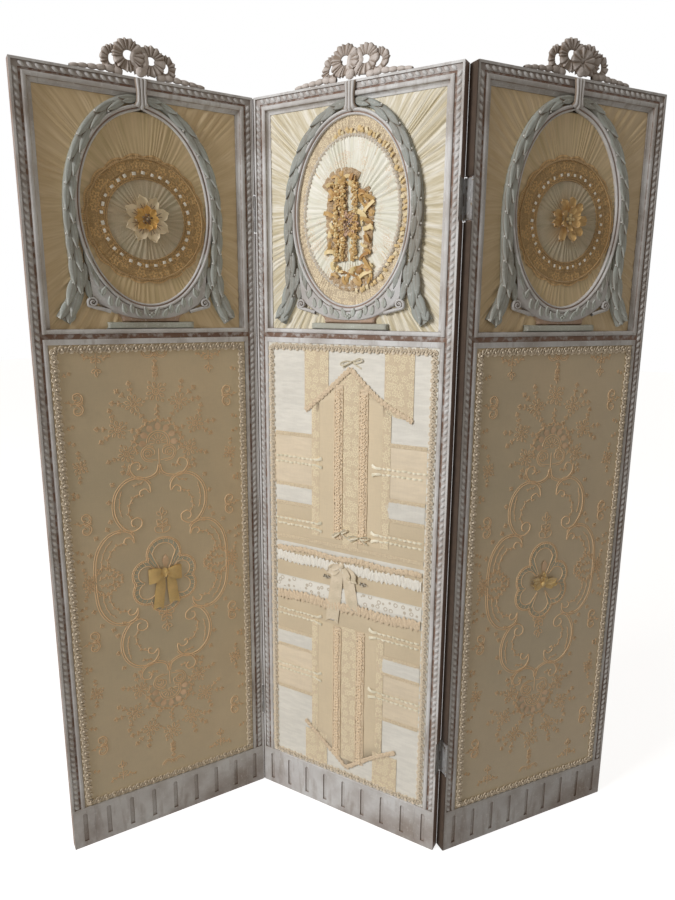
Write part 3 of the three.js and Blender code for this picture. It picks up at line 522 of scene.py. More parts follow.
@once
def twisted_cord(name, base, dark, twists, bare=0.35, deep=0.8):
    """Cord whose strands run aslant along the piece's own map."""
    made, shader, surface = start_material(name)
    flat = shader.own_map()
    parts = shader.split(flat)
    along = shader.plus(shader.times(parts["Y"], twists), parts["X"])
    strands = shader.math("SINE", shader.times(along, tau))
    place = shader.here()
    uneven = shader.remap(shader.noise(place, 240.0, 3.0), 0.35, 0.7)
    # Painted shade: the dark colour shows in the grooves between the strands.
    mask = shader.remap(shader.plus(strands, uneven), -0.9, 0.3, bare, 0.0)
    # Painted shade: hollows found by occlusion take the dark colour.
    shade = shader.add("AmbientOcclusion", {"Distance": 0.0035}, samples=4, only_local=True)
    sunk = shader.times(shader.remap(shade.outputs["AO"], 0.7, 0.2), deep)
    colours = shader.mix(sunk, shader.mix(mask, base, dark), dark)
    finish_material(shader, surface, 0.6, colours, strands, 0.5, 0.0004, Sheen_Weight=0.3)
    return made


@once
def plain_cloth(name, base, roughness=0.45, sheen=0.4, grain=500.0):
    """Ribbon and petals: fine crosswise grain, worn a little unevenly."""
    made, shader, surface = start_material(name)
    place = shader.here()
    flat = shader.own_map()
    ribs = shader.noise(shader.stretched(flat, (6.0, 60.0, 1.0)), 1.0, 2.0)
    mottle = shader.remap(shader.noise(place, 45.0, 3.0), 0.35, 0.7, 1.05, 0.84)
    fine = shader.remap(ribs, 0.3, 0.7, 0.93, 1.05)
    level = shader.times(mottle, fine)
    grey = shader.shade(level, level, shader.math("POWER", level, 1.3))
    height = shader.plus(ribs, shader.times(shader.noise(place, grain, 2.0), 0.4))
    finish_material(
        shader, surface, roughness, shader.mix(1.0, base, grey, "MULTIPLY"), height, 0.3, 0.0005,
        Sheen_Weight=sheen,
    )
    return made


# Shapes
def fresh_mesh():
    made = bmesh.new()
    made.loops.layers.uv.new("UVMap")
    made.verts.layers.float.new("hollow")
    return made


def faces_of(verts):
    return {face for vert in verts for face in vert.link_faces}


def turn_over(verts):
    for face in faces_of(verts):
        face.normal_flip()


def left_of(ahead):
    """The way to the left of another, on a leaf's face."""
    return Vector((-ahead.y, ahead.x))


def around(centre, radius, angle):
    return centre[0] + radius * cos(angle), centre[1] + radius * sin(angle)


def leaf_matrix(leaf):
    place, turn = LEAVES[leaf]
    return Matrix.Translation(place) @ Matrix.Rotation(turn, 4, "Z") @ Matrix.Scale(MM, 4)


def new_piece(name, bm, leaf, materials, weld=0.02, closed=False, flat_faces=False):
    """Places a mesh drawn in a leaf's millimetres and makes it ride on that leaf."""
    if weld:
        bmesh.ops.remove_doubles(bm, verts=bm.verts, dist=weld)
    if closed:
        bmesh.ops.recalc_face_normals(bm, faces=bm.faces)
    for face in bm.faces:
        face.smooth = not flat_faces
    bm.transform(leaf_matrix(leaf))
    mesh = bpy.data.meshes.new(name)
    bm.to_mesh(mesh)
    bm.free()
    for material in materials:
        mesh.materials.append(material)
    made = bpy.data.objects.new(name, mesh)
    bpy.context.scene.collection.objects.link(made)
    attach(made, f"leaf_{leaf}")
    return made


def shaped_grid(bm, across, along, place, material=0):
    """A grid moved to place(u, v), which may also say how deep in a hollow a point lies, from 0 to 1, for
    painted shade there.

    On the front, u runs to the right and v upwards.
    """
    layer = bm.verts.layers.float["hollow"]
    made = bmesh.ops.create_grid(bm, x_segments=across, y_segments=along, size=0.5, calc_uvs=True)["verts"]
    if material:
        for face in faces_of(made):
            face.material_index = material
    for vert in made:
        spot = place(vert.co.x + 0.5, vert.co.y + 0.5)
        if isinstance(spot, tuple):
            vert.co, vert[layer] = spot
        else:
            vert.co = spot
    return made


def smooth_path(points, spacing, loop=False):
    """Even steps along a smooth curve through points (x, z) of the leaf's face."""
    control = [Vector((x, z, 0.0)) for x, z in points]
    count = len(control)
    fine = []
    for span in range(count if loop else count - 1):
        before = control[span - 1] if loop or span else control[0]
        start = control[span]
        end = control[(span + 1) % count]
        after = control[(span + 2) % count] if loop or span + 2 < count else end
        fine += interpolate_bezier(start, start + (end - before) / 6, end - (after - start) / 6, end, 12)[:-1]
    fine.append(control[0] if loop else control[-1])
    lengths = [0.0]
    for first, second in zip(fine, fine[1:]):
        lengths.append(lengths[-1] + (second - first).length)
    steps = max(3, round(lengths[-1] / spacing))
    path = []
    index = 0
    for step in range(steps if loop else steps + 1):
        target = lengths[-1] * step / steps
        while index < len(fine) - 2 and lengths[index + 1] < target:
            index += 1
        span = max(lengths[index + 1] - lengths[index], 1e-9)
        path.append(fine[index].lerp(fine[index + 1], (target - lengths[index]) / span).to_2d())
    return path


def mirrored(points):
    return [(-x, z) for x, z in points]


def upturned(points):
    return [(x, 2 * PANEL_MIDDLE - z) for x, z in points]


def sweep(bm, path, across, section, loop=False, material=0):
    """Runs a section along a path of the leaf's face.

    section(u, v) gives (to the path's left, y), and may add how deep in a hollow the point lies, for painted
    shade there.
    """
    count = len(path)
    along = count if loop else count - 1
    frames = []
    for index, point in enumerate(path):
        before = path[index - 1] if loop or index else point
        after = path[(index + 1) % count] if loop or index + 1 < count else point
        ahead = (after - before).normalized()
        frames.append((point, left_of(ahead)))

    def place(u, v):
        point, left = frames[round(v * along) % count]
        out, depth, *hollow = section(u, v)
        spot = point + left * out
        made = Vector((spot.x, depth, spot.y))
        return (made, hollow[0]) if hollow else made

    return shaped_grid(bm, across, along, place, material)


def cord(bm, path, radius, depth, sides=5, loop=False, flat=0.8, material=0):
    """A round cord with its middle at a depth, and with closed tips."""
    last = len(path) - 1

    def section(u, v):
        tip = 1.0 if loop or 0 < round(v * last) < last else 0.0
        angle = tau * u
        return radius * tip * cos(angle), depth + radius * flat * tip * sin(angle)

    return sweep(bm, path, sides, section, loop, material)


def bead(bm, x, depth, z, radius, flat=1.0, material=0, detail=1):
    """A small round bump."""
    place = Matrix.Translation((x, depth, z)) @ Matrix.Diagonal((1, flat, 1, 1))
    made = bmesh.ops.create_icosphere(bm, subdivisions=detail, radius=radius, matrix=place)["verts"]
    if material:
        for face in faces_of(made):
            face.material_index = material


def leaf_shape(bm, base, angle, length, width, low, high, belly=0.45, keel=1.2, material=0, skirt=3.0):
    """A carved leaf: base and angle in the face, y low at the base and high at the tip."""
    ahead = Vector((cos(angle), sin(angle)))
    side = left_of(ahead)
    spot = Vector(base)
    across, along = 10, 10

    def place(u, v):
        share = abs(2 * u - 1)
        edge = min(1.0, share / 0.8)
        half = width / 2 * (sin(pi * min(1.0, v ** belly)) ** 0.75 if 0 < v < 1 else 0.02)
        point = spot + ahead * (length * v) + side * (half * edge * (1 if u > 0.5 else -1))
        rise = low + (high - low) * v
        vein = 1.0 if share < 0.01 and 0 < v < 0.95 else 0.0
        bend = (1 - edge ** 2) * width * 0.13 - keel * vein
        drop = skirt if share > 0.9 else 0.0
        # Painted shade along the vein and on the skirt under the leaf's edge.
        hollow = 0.35 * vein + (0.9 if drop else 0.0)
        return Vector((point.x, rise - bend + drop, point.y)), hollow

    shaped_grid(bm, across, along, place, material)


def petal(bm, base, angle, length, width, depth, lift, cup, wave=0.0, material=0, blunt=0.55):
    """A cloth petal, from its base outwards, that rises by lift and cups at its sides."""
    ahead = Vector((cos(angle), sin(angle)))
    side = left_of(ahead)
    spot = Vector(base)

    def place(u, v):
        across = 2 * u - 1
        half = width / 2 * (0.22 + 0.78 * sin(pi * (v ** blunt) * 0.82 + 0.08)) * (1 - max(0, v - 0.86) * 4)
        reach = length * v * (1 - 0.12 * across * across * v)
        point = spot + ahead * reach + side * (half * across)
        y = depth - lift * sin(v * pi * 0.6) + cup * across * across * (0.4 + v) * -1
        y += wave * sin(across * 7 + angle * 3) * v
        return Vector((point.x, y, point.y))

    shaped_grid(bm, 6, 7, place, material)


def oval_point(angle, out=0.0, half_width=OVAL_HALF_WIDTH, half_height=OVAL_HALF_HEIGHT):
    """A point round the oval. The angle is 0 at the right and grows upwards."""
    return Vector(((half_width + out) * cos(angle), OVAL_CENTRE + (half_height + out) * sin(angle)))


def soft(x, y, z=0.0):
    """Smooth noise from -1 to 1."""
    return noise.noise(Vector((x, y, z)))


# Frames
def paint_frames():
    for leaf in LEAVES:
        for part in ("stile_left", "stile_right", "top_rail", "mid_rail", "base_rail"):
            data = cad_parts[f"{leaf}_{part}"].data
            data.materials.clear()
            data.materials.append(frame_paint(f"{leaf} frame paint", leaf))
    metal = hinge_paint()
    for name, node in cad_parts.items():
        if "_hinge_" in name:
            node.data.materials.clear()
            node.data.materials.append(metal)


def hinge_paint():
    """Painted hinge metal with the paint worn off in patches."""
    made, shader, surface = start_material("painted hinge metal")
    place = shader.here()
    # The hinge paint is the frame paint darkened to painted shade in the joints.
    worn = shader.group(
        "Worn paint", {"Vector": place, "Paint": tinted("paint", 0.4), "Grime and shade": tinted("grime_and_shade", 0.5)},
    )
    bare = shader.remap(shader.noise(place, 120.0, 4.0), 0.6, 0.68)
    shader.link(bare, surface.inputs["Metallic"])
    finish_material(
        shader, surface, shader.remap(bare, 0.0, 1.0, 0.6, 0.4),
        shader.mix(bare, worn["Colour"], rgb(120, 104, 82)), worn["Height"], 0.3,
    )
    return made


@once
def ruched_cloth(name, base, dark, shade=0.85):
    """Puckered cloth, with painted shade where the mesh marks a hollow."""
    made, shader, surface = start_material(name)
    place = shader.here()
    carved = shader.add("Attribute", attribute_name="hollow").outputs["Fac"]
    fine = shader.noise(place, 380.0, 3.0)
    holes = shader.remap(fine, 0.56, 0.68, 0.0, 0.5)
    deep = shader.times(shader.most(carved, holes), shade)
    finish_material(shader, surface, 0.65, shader.mix(deep, base, dark), fine, 0.6, 0.0009, Sheen_Weight=0.3)
    return made


def carving_unit():
    """One ridge of the carved channel, slanting across it, with a berry beside it."""
    bm = fresh_mesh()
    bean = Matrix.Rotation(radians(36), 4, "Y") @ Matrix.Diagonal((4.1, 3.3, 6.9, 1))
    bmesh.ops.create_uvsphere(bm, u_segments=8, v_segments=5, radius=1, matrix=bean)
    berry = Matrix.Translation((3.4, 0.6, 5.6)) @ Matrix.Diagonal((1.6, 1.6, 1.6, 1))
    bmesh.ops.create_icosphere(bm, subdivisions=1, radius=1, matrix=berry)
    mesh = bpy.data.meshes.new("carving unit")
    bm.to_mesh(mesh)
    bm.free()
    return mesh


def close_joints():
    """Dark strips of painted shade that ride on the hinge links and keep light out of the two joints."""
    made, shader, surface = start_material("dark painted joint shade")
    place = shader.here()
    shade = shader.mix(shader.noise(place, 60.0, 3.0), rgb(92, 76, 62), rgb(64, 52, 44))
    finish_material(shader, surface, 0.9, shade, shader.noise(place, 700.0, 3.0), 0.4)
    for name, first, second in (
        ("left", (-241.6, -12.0), (-241.6, 12.0)), ("right", (241.6, 12.0), (261.2, -1.85)),
    ):
        bm = fresh_mesh()
        start, end = Vector(first), Vector(second)
        ahead = (end - start).normalized()
        side = left_of(ahead) * 1.1
        for low, high in ((2.0, 196.0), (278.0, 1399.0), (1481.0, 1678.0)):

            def place(u, v, low=low, high=high):
                turn = tau * u
                spot = (end if cos(turn) > 0 else start) + side * sin(turn)
                spot += ahead * (1.1 * cos(turn))
                return Vector((spot.x, spot.y, low + (high - low) * v))

            shaped_grid(bm, 16, 12, place)
        bmesh.ops.remove_doubles(bm, verts=bm.verts, dist=0.02)
        bmesh.ops.holes_fill(bm, edges=[edge for edge in bm.edges if edge.is_boundary], sides=0)
        strip = new_piece(f"{name}_joint_shade_strip", bm, "centre", [made], closed=True)
        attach(strip, f"link_{name}")


def stamp(bm, unit, matrix):
    """Adds a copy of a mesh, moved by a matrix."""
    unit.transform(matrix)
    bm.from_mesh(unit)
    unit.transform(matrix.inverted())


def carve_channels():
    """Rows of slanting ridges in the channel of the stiles and the top rail."""
    unit = carving_unit()
    pitch = sizes().carving_pitch / MM
    depth = CHANNEL_FLOOR + 0.4
    side = HALF_WIDTH - CHANNEL_MIDDLE
    for leaf in LEAVES:
        bm = fresh_mesh()
        rows = round((HEIGHT - 22 - BASE_HEIGHT - 6) / pitch)
        for row in range(rows + 1):
            z = BASE_HEIGHT + 6 + row * (HEIGHT - 22 - BASE_HEIGHT - 6) / rows
            for way in (-1, 1):
                stamp(bm, unit, Matrix.Translation((way * side, depth, z)) @ Matrix.Diagonal((way, 1, 1, 1)))
        columns = round(2 * (side - 12) / pitch)
        for column in range(columns + 1):
            x = -side + 12 + column * 2 * (side - 12) / columns
            if abs(x) > 18:
                turn = Matrix.Rotation(radians(90), 4, "Y")
                stamp(bm, unit, Matrix.Translation((x, depth, HEIGHT - CHANNEL_MIDDLE)) @ turn)
        new_piece(
            f"{leaf}_channel_carving", bm, leaf,
            [carved_paint("channel paint", tinted("paint", 0.94), 0.35, 1.0, 0.006)], weld=0, closed=True,
        )


# Oval frames
def oval_cusp(angle, leaf):
    """How far the top of an outer leaf's oval runs up to a point."""
    gap = abs(angle - pi / 2)
    return (0.0 if leaf == "centre" else 6.5) * exp(-gap / 0.09)


def carve_moulding(leaf):
    """Ring of two beads with a brown line between them."""
    bm = fresh_mesh()
    steps = 160
    depths = [
        (0.0, RELIEF_BACK), (0.0, -5.2), (0.6, -7.4), (2.2, -8.6), (3.8, -7.9), (4.8, -6.4), (6.0, -6.6),
        (6.8, -9.4), (8.4, -11.2), (10.4, -11.5), (12.2, -10.3), (13.0, -8.0), (13.0, RELIEF_BACK),
        (0.0, RELIEF_BACK),
    ]
    last = len(depths) - 1

    def place(u, v):
        angle = tau * v
        out, depth = depths[round(u * last)]
        spot = oval_point(angle, out)
        return Vector((spot.x, depth, spot.y + oval_cusp(angle, leaf)))

    shaped_grid(bm, last, steps, place)
    for vert in bm.verts:
        vert.co.x *= -1
    made = new_piece(
        f"{leaf}_oval_moulding", bm, leaf,
        [moulding_paint(f"{leaf} moulding paint", leaf)], closed=True,
    )
    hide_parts(f"{leaf}_oval_frame")


def moulding_paint(name, leaf):
    """Lilac grey beads with a pink brown line sunk between them."""
    made, shader, surface = start_material(name)
    place = leaf_place(shader, leaf)
    worn = shader.group(
        "Worn paint",
        {
            "Vector": place, "Paint": tinted("paint", 0.98), "Grime and shade": colour("grime_and_shade"), "Patches": 0.35,
            "Hollows": 0.9, "Reach": 0.006,
        },
    )
    flat = shader.own_map()
    across = shader.split(flat)["X"]
    line = shader.times(shader.remap(across, 0.3, 0.36), shader.remap(across, 0.52, 0.46))
    finish_material(
        shader, surface, worn["Roughness"],
        shader.mix(shader.times(line, 0.85), worn["Colour"], rgb(150, 118, 98)),
        worn["Height"], 0.25,
    )
    return made


# Middle line of a garland from the strap to the corner, and its width there
GARLAND_LINE = [
    (8, 1642), (40, 1636), (76, 1613), (108, 1577), (132, 1532), (147, 1482), (152.5, 1430), (152, 1385),
    (149, 1335), (145, 1292), (148.5, 1265), (158, 1240), (178, 1207.5),
]


def garland_width(share):
    """Width of the garland, from its crown to the end of its tail."""
    if share < 0.25:
        return 13.0 + (23.0 - 13.0) * sin(share / 0.25 * pi / 2)
    if share < 0.72:
        return 23.0
    return 23.0 + 8.5 * min(1.0, (share - 0.72) / 0.2)


def carve_garlands(leaf):
    """Two rows of overlapping laurel leaves with berries that hang over the oval and end in tails."""
    bm = fresh_mesh()
    draw = random.Random(11 + len(leaf))
    pitch = sizes().leaf_pitch / MM
    for side in (-1, 1):
        points = [(side * x, z) for x, z in GARLAND_LINE]
        bed = smooth_path(points, 9)

        def section(u, v):
            half = garland_width(v) / 2 - 0.6
            outs = (-half, -half, -0.72 * half, 0.0, 0.72 * half, half, half)
            depths = (RELIEF_BACK, -6.5, -9.4, -10.4, -9.4, -6.5, RELIEF_BACK)
            at = round(u * 6)
            return outs[at], depths[at]

        sweep(bm, bed, 6, section)
        path = smooth_path(points, 3)
        total = (len(path) - 1) * 3
        count = round(2 * total / pitch)
        for index in range(count, -1, -1):
            start = max(0.0, index * pitch / 2 - 22)
            long = min(62.0, 34.0 + index * 5, total - start + 2)
            if long < 16:
                continue
            at = round(start / 3)
            ahead = (path[min(at + 3, len(path) - 1)] - path[max(at - 3, 0)]).normalized()
            left = left_of(ahead)
            way = -1 if index % 2 else 1
            width = garland_width(start / total)
            wide_end = garland_width(min(1.0, (start + long) / total))
            base = path[at] + left * (way * width * 0.16)
            future = path[min(len(path) - 1, round((start + long) / 3))]
            tip = future + left * (way * wide_end * draw.uniform(0.24, 0.31))
            aim = tip - base
            leaf_shape(
                bm, base, atan2(aim.y, aim.x), aim.length, (width + wide_end) / 2 * 0.66, -8.6, -13.4,
                belly=0.85, keel=0.5,
            )
            if index > 1 and long > 40:
                spot = base + aim * 0.93 + left * (way * 2.6)
                bead(bm, spot.x, -10.8, spot.y, 2.6, 0.8, material=1)
        carve_inner_leaf(bm, side)
    # The centre garland's darker carving paint is painted shade.
    new_piece(
        f"{leaf}_laurel_garland", bm, leaf,
        [
            carved_paint(
                f"{leaf} garland paint", tinted("carving", 0.64 if leaf == "centre" else 0.82), 0.4, 1.0,
                0.008,
            ),
            carved_paint("berry paint", rgb(244, 244, 240), 0.1, 0.5, 0.003),
        ],
        weld=0.01,
    )


def carve_inner_leaf(bm, side):
    """Leaves between the garland and the ring that hang down to the volute."""
    for x, z, angle, length, width in (
        (126, 1352, -100, 58, 15), (122, 1326, -108, 54, 19), (131, 1322, -86, 50, 17),
        (116, 1296, -112, 44, 15),
        (128, 1290, -96, 40, 17),
    ):
        turn = radians(angle if side > 0 else -180 - angle)
        leaf_shape(bm, (side * x, z), turn, length, width, -6.5, -10.8, belly=0.7, keel=0.6, skirt=8.0)


def carve_band(leaf):
    """Rounded band under the oval with its volutes."""
    bm = fresh_mesh()
    start, end = radians(207), radians(333)

    def place(u, v):
        angle = start + (end - start) * u
        inner = oval_point(angle, MOULDING_WIDTH - 1)
        share = (degrees(angle) - 270) / 63
        foot = Vector((118 * share, 1209.5 + 40 * abs(share) ** 2.6))
        spot = foot.lerp(inner, v)
        round_out = sin(pi * min(1.0, 0.06 + 0.86 * v)) ** 0.5
        lip = 1.4 if v < 0.12 else 0.0
        depth = RELIEF_BACK if v in (0.0, 1.0) else -4.6 - 6.2 * round_out - lip
        # Painted shade where the band meets the moulding.
        return Vector((spot.x, depth, spot.y)), (0.8 if v > 0.9 else 0.0)

    shaped_grid(bm, 90, 14, place)
    for side in (-1, 1):
        turns = []
        for step in range(27):
            angle = radians(-70 + step * 24)
            radius = 10.5 - step * 0.33
            turns.append((side * (119 + radius * cos(angle)), 1244 + radius * sin(angle)))
        arm = [(side * x, z) for x, z in ((84, 1226), (96, 1229.5), (109, 1232.5))]
        scroll = smooth_path(arm + turns[1:], 2.2)

        def section(u, v):
            angle = tau * u
            radius = 4.4 - 2.2 * v
            return radius * cos(angle), -7.5 + 4.6 * sin(angle) - 1.5 * v

        sweep(bm, scroll, 7, section)
        bead(bm, side * 119, -9.5, 1244, 3.4, 0.9)
        bead(bm, side * 119, -4.0, 1244, 8.6, 0.5)
    new_piece(
        f"{leaf}_carved_band", bm, leaf,
        [carved_paint("band paint", tinted("paint", 0.86), 0.45, 0.9, 0.006)],
    )


def band_point(share, rise):
    """A point of the band under the oval: share from -1 to 1 along it, rise from 0 to 1 across it."""
    inner = oval_point(radians(270 + 63 * share), MOULDING_WIDTH - 1)
    foot = Vector((118 * share, 1209.5 + 40 * abs(share) ** 2.6))
    return foot.lerp(inner, rise)


def carve_tufts(leaf):
    """Curling acanthus leaves that run outwards along the band from its middle."""
    bm = fresh_mesh()
    for side in (-1, 1):
        for index in range(7):
            share = side * (0.06 + index * 0.125)
            base = band_point(share, 0.2 if index % 2 else 0.34)
            ahead = band_point(share + side * 0.12, 0.45) - base
            angle = atan2(ahead.y, ahead.x) + side * (0.5 if index % 2 else 0.95)
            leaf_shape(bm, base, angle, 21, 11, -10.4, -13.0, belly=0.75, keel=0.9, skirt=2.6)
    for share, rise in ((0, 0.3), (0, 0.6), (-0.03, 0.45), (0.03, 0.45)):
        spot = band_point(share, rise)
        bead(bm, spot.x, -11.2, spot.y, 3.6, 0.6)
    new_piece(
        f"{leaf}_band_leaves", bm, leaf,
        [carved_paint("band leaf paint", tinted("carving", 1.0), 0.3, 0.9, 0.006)],
    )


def carve_support(leaf):
    """Concave support and plinth that carry the oval on the mid rail."""
    bm = fresh_mesh()

    def concave(u, v):
        hollow = 6.0 * sin(pi * v)
        half = 62 + 14 * v ** 2 - hollow * 0.4
        x = max(-half, min(half, (u - 0.5) * 2.3 * half))
        rim = abs(u - 0.5) > 0.46
        depth = RELIEF_BACK if rim or v in (0.0, 1.0) else -9.0 + hollow * 0.45
        return Vector((x, depth, 1203.8 + 20 * v))

    shaped_grid(bm, 26, 8, concave, material=1)

    def slab(u, v):
        rim_x = abs(u - 0.5) > 0.47
        half = 93 - (1.5 if 0.12 < v < 0.88 else 0.0)
        x = max(-half, min(half, (u - 0.5) * 2.2 * half))
        depth = RELIEF_BACK if rim_x or v in (0.0, 1.0) else (-11.0 if 0.15 < v < 0.8 else -9.6)
        return Vector((x, depth, SILK_LOW + 13.9 * v))

    shaped_grid(bm, 40, 10, slab)
    new_piece(
        f"{leaf}_oval_support", bm, leaf,
        [
            carved_paint("plinth paint", rgb(190, 194, 182), 0.4, 0.8, 0.008),
            carved_paint("support paint", rgb(188, 160, 138), 0.5, 0.8, 0.008),
        ],
    )


def carve_strap(leaf):
    """Reeded strap that ties the oval to the crest over the top rail."""
    bm = fresh_mesh()

    def place(u, v):
        half = 13.0 - 2.2 * sin(pi * min(1.0, v * 1.2)) + 4.0 * max(0.0, 0.12 - v) * 8
        x = (2 * u - 1) * half
        reed = abs(sin(3 * pi * min(0.999, max(0.001, (u - 0.06) / 0.88))))
        dip = 3.0 * (1 - v) * (1 - abs(2 * u - 1)) if v < 0.2 else 0.0
        edge = u < 0.03 or u > 0.97
        depth = -12.2 if edge else -14.0 - 3.1 * reed ** 0.6
        if v in (0.0, 1.0):
            depth = -11.0
        # Painted shade in the grooves between the reeds.
        return Vector((x, depth, 1629.0 - dip * 2.2 + (HEIGHT - 1629.0) * v)), max(0.0, 1.0 - 1.6 * reed)

    shaped_grid(bm, 30, 16, place)
    new_piece(
        f"{leaf}_reeded_strap", bm, leaf,
        [carved_paint("strap paint", tinted("paint", 0.98), 0.3, 0.95, 0.005)],
    )


# Crest bows
# Middle, half sizes, front, width of the ribbon and number of pleats of each loop
CREST_LOOPS = (
    (-52.4, 1708.2, 23.6, 26.8, -8.5, 17.0, 13),
    (52.4, 1707.5, 23.6, 26.1, -8.5, 17.0, 13),
    (22.8, 1715.2, 31.2, 30.0, -11.0, 22.5, 15),
    (-22.0, 1718.3, 32.7, 31.7, -13.5, 23.0, 16),
)
CRUMPLED_LOOP = (4.0, 1709.0, 30.0, 27.0, -16.0, 26.0, 9)
CREST_KNOT = 1690.3
CREST_SHIFT = {"left": 0.0, "centre": 9.0, "right": 0.0}
# The lower shares of the outer leaves' crests are painted shade.
CREST_SHADE = {"left": 0.93, "centre": 1.0, "right": 0.74}


def pleated_loop(bm, loop, phase):
    """One loop of pleated ribbon, with a flat back and a scalloped rim."""
    x, z, half_x, half_z, front, band, pleats = loop

    def place(u, v):
        angle = tau * v
        swing = 0.35 * soft(cos(angle) * 2 + x, sin(angle) * 2, z)
        share_round = (pleats * (angle + swing) + phase) / tau % 1.0
        pleat = min(1.0, share_round / 0.72) if share_round < 0.72 else (1 - share_round) / 0.28
        turn = tau * u
        share = 0.5 + 0.5 * cos(turn)
        outer = Vector((half_x * cos(angle), half_z * sin(angle)))
        scallop = 1.0 - 0.1 * (1 - pleat) * share
        inner = max(0.14, 1 - band / outer.length)
        spread = outer * (inner + (scallop - inner) * share)
        # Painted shade: crease marks the loop's back, the valleys of the pleats and its inner edge for
        # darkening.
        crease = 0.5
        depth = front + 5.6
        if sin(turn) > 0:
            rise = 5.2 * pleat ** 0.8 * (0.35 + 0.65 * share)
            depth = front + 4.4 - abs(sin(turn)) ** 0.4 * (rise + 0.6)
            crease = max(0.0, 0.95 - 1.5 * pleat)
        return Vector((x + spread.x, depth, z + spread.y)), max(crease, 0.55 * (1 - share) ** 2)

    shaped_grid(bm, 12, 180, place)


def crest_ends(bm, side):
    """The strand that rises from the knot and the end that ripples along the rail."""
    strand = smooth_path([(side * 4, 1688), (side * 9, 1700), (side * 13, 1713), (side * 10, 1727)], 2)

    def fold(u, v):
        return (u - 0.5) * (15 - 5 * v), -7.5 - 3.0 * cos((u - 0.5) * 3) - 1.6 * abs(sin(v * 9))

    sweep(bm, strand, 6, fold)
    line = [(34, 1686), (60, 1689), (84, 1687.5), (110, 1686), (134, 1683)]
    waves = smooth_path([(side * x, z) for x, z in line], 1.6)

    def ripple(u, v):
        hump = abs(sin(v * pi * 6.0)) ** 0.6
        tall = (7.5 - 4.0 * v) * (0.55 + 0.45 * hump)
        turn = tau * u
        # Painted shade in the troughs between the ripples.
        dark = 0.7 * max(0.0, 1 - 1.6 * hump)
        return tall * cos(turn) * 1.05, -6.2 + 4.9 * sin(turn) * (0.6 + 0.4 * hump), dark

    sweep(bm, waves, 9, ripple)


def carve_crest(leaf):
    """Bow of pleated ribbon carved in wood, with a knot and two rippling ends."""
    bm = fresh_mesh()
    draw = random.Random(23 + len(leaf))
    for loop in CREST_LOOPS + ((CRUMPLED_LOOP,) if leaf == "right" else ()):
        pleated_loop(bm, loop, draw.uniform(0, 6))
    for side in (-1, 1):
        crest_ends(bm, side)
    bead(bm, 0, -12.2, CREST_KNOT, 9.6, 0.6, detail=3)
    bead(bm, 0, -16.4, CREST_KNOT, 3.6, 0.6, detail=2)
    for vert in bm.verts:
        if vert.co.z > 1692:
            vert.co.x += CREST_SHIFT[leaf] * min(1.0, (vert.co.z - 1692) / 20)
        vert.co.z = max(vert.co.z, HEIGHT + 0.1)
    paint = carved_paint(f"{leaf} crest paint", tinted("crest", CREST_SHADE[leaf]), 0.4, 1.0, 0.007)
    made = new_piece(f"{leaf}_crest_ribbon", bm, leaf, [paint], closed=True)
    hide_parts(f"{leaf}_crest_bow")


# Gathered silk
def fold_row(count, seed):
    """Edges of uneven folds along a row from 0 to 1."""
    draw = random.Random(seed)
    widths = [draw.uniform(0.45, 1.55) for _ in range(count)]
    total = sum(widths)
    edges = [0.0]
    for width in widths:
        edges.append(edges[-1] + width / total)
    return edges


def fold_height(edges, share):
    """Height from 0 to 1 of the fold at a share of the row."""
    share %= 1.0
    low, high = 0, len(edges) - 1
    while high - low > 1:
        middle = (low + high) // 2
        if edges[middle] <= share:
            low = middle
        else:
            high = middle
    part = (share - edges[low]) / (edges[high] - edges[low])
    tall = 0.55 + 0.45 * sin(low * 12.9898)
    return tall * sin(pi * part ** 1.5)


def rim_point(share):
    """A point of the silk's rectangle, from its lower left corner round to the right."""
    width, height = 2 * SILK_HALF_WIDTH, SILK_HIGH - SILK_LOW
    run = share % 1.0 * 2 * (width + height)
    if run < width:
        return Vector((-SILK_HALF_WIDTH + run, SILK_LOW))
    if run < width + height:
        return Vector((SILK_HALF_WIDTH, SILK_LOW + run - width))
    if run < 2 * width + height:
        return Vector((SILK_HALF_WIDTH - (run - width - height), SILK_HIGH))
    return Vector((-SILK_HALF_WIDTH, SILK_HIGH - (run - 2 * width - height)))


def gather_silk(leaf):
    """Silk gathered from the oval out to the frame."""
    bm = fresh_mesh()
    outer = leaf != "centre"
    count = sizes().fold_count
    coarse = fold_row(round(count * (0.6 if outer else 1.0)), 5 + len(leaf))
    fine = fold_row(count * 2, 17 + len(leaf))
    depth = sizes().fold_depth / MM
    centre = Vector((0, OVAL_CENTRE))
    thin = 0.2 if outer else 0.45

    def place(u, v):
        rim = rim_point(u)
        way = rim - centre
        angle = atan2(way.y / (OVAL_HALF_HEIGHT + 6), way.x / (OVAL_HALF_WIDTH + 6))
        inner = oval_point(angle, 6)
        spot = inner.lerp(rim, v)
        drift = 0.0025 * soft(u * 40, v * 2.0)
        broad = fold_height(coarse, u + drift * v)
        narrow = fold_height(fine, u + drift)
        height = depth * (broad * min(1.0, 0.25 + 1.2 * v) + thin * narrow * (1 - 0.5 * v))
        height *= 1.0 - 0.6 * max(0.0, v - 0.93) / 0.07
        return Vector((spot.x, SILK_FACE - height, spot.y))

    turn_over(shaped_grid(bm, 1200, 12, place))
    # The right leaf's darker silk is painted shade.
    base = {"left": colour("silk"), "centre": colour("pale_silk"), "right": tinted("silk", 0.9)}[leaf]
    made = new_piece(
        f"{leaf}_silk_gathers", bm, leaf,
        [radial_silk(f"{leaf} gathered silk", base, 0.3 if outer else 0.9)],
    )
    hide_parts(f"{leaf}_gathered_silk")


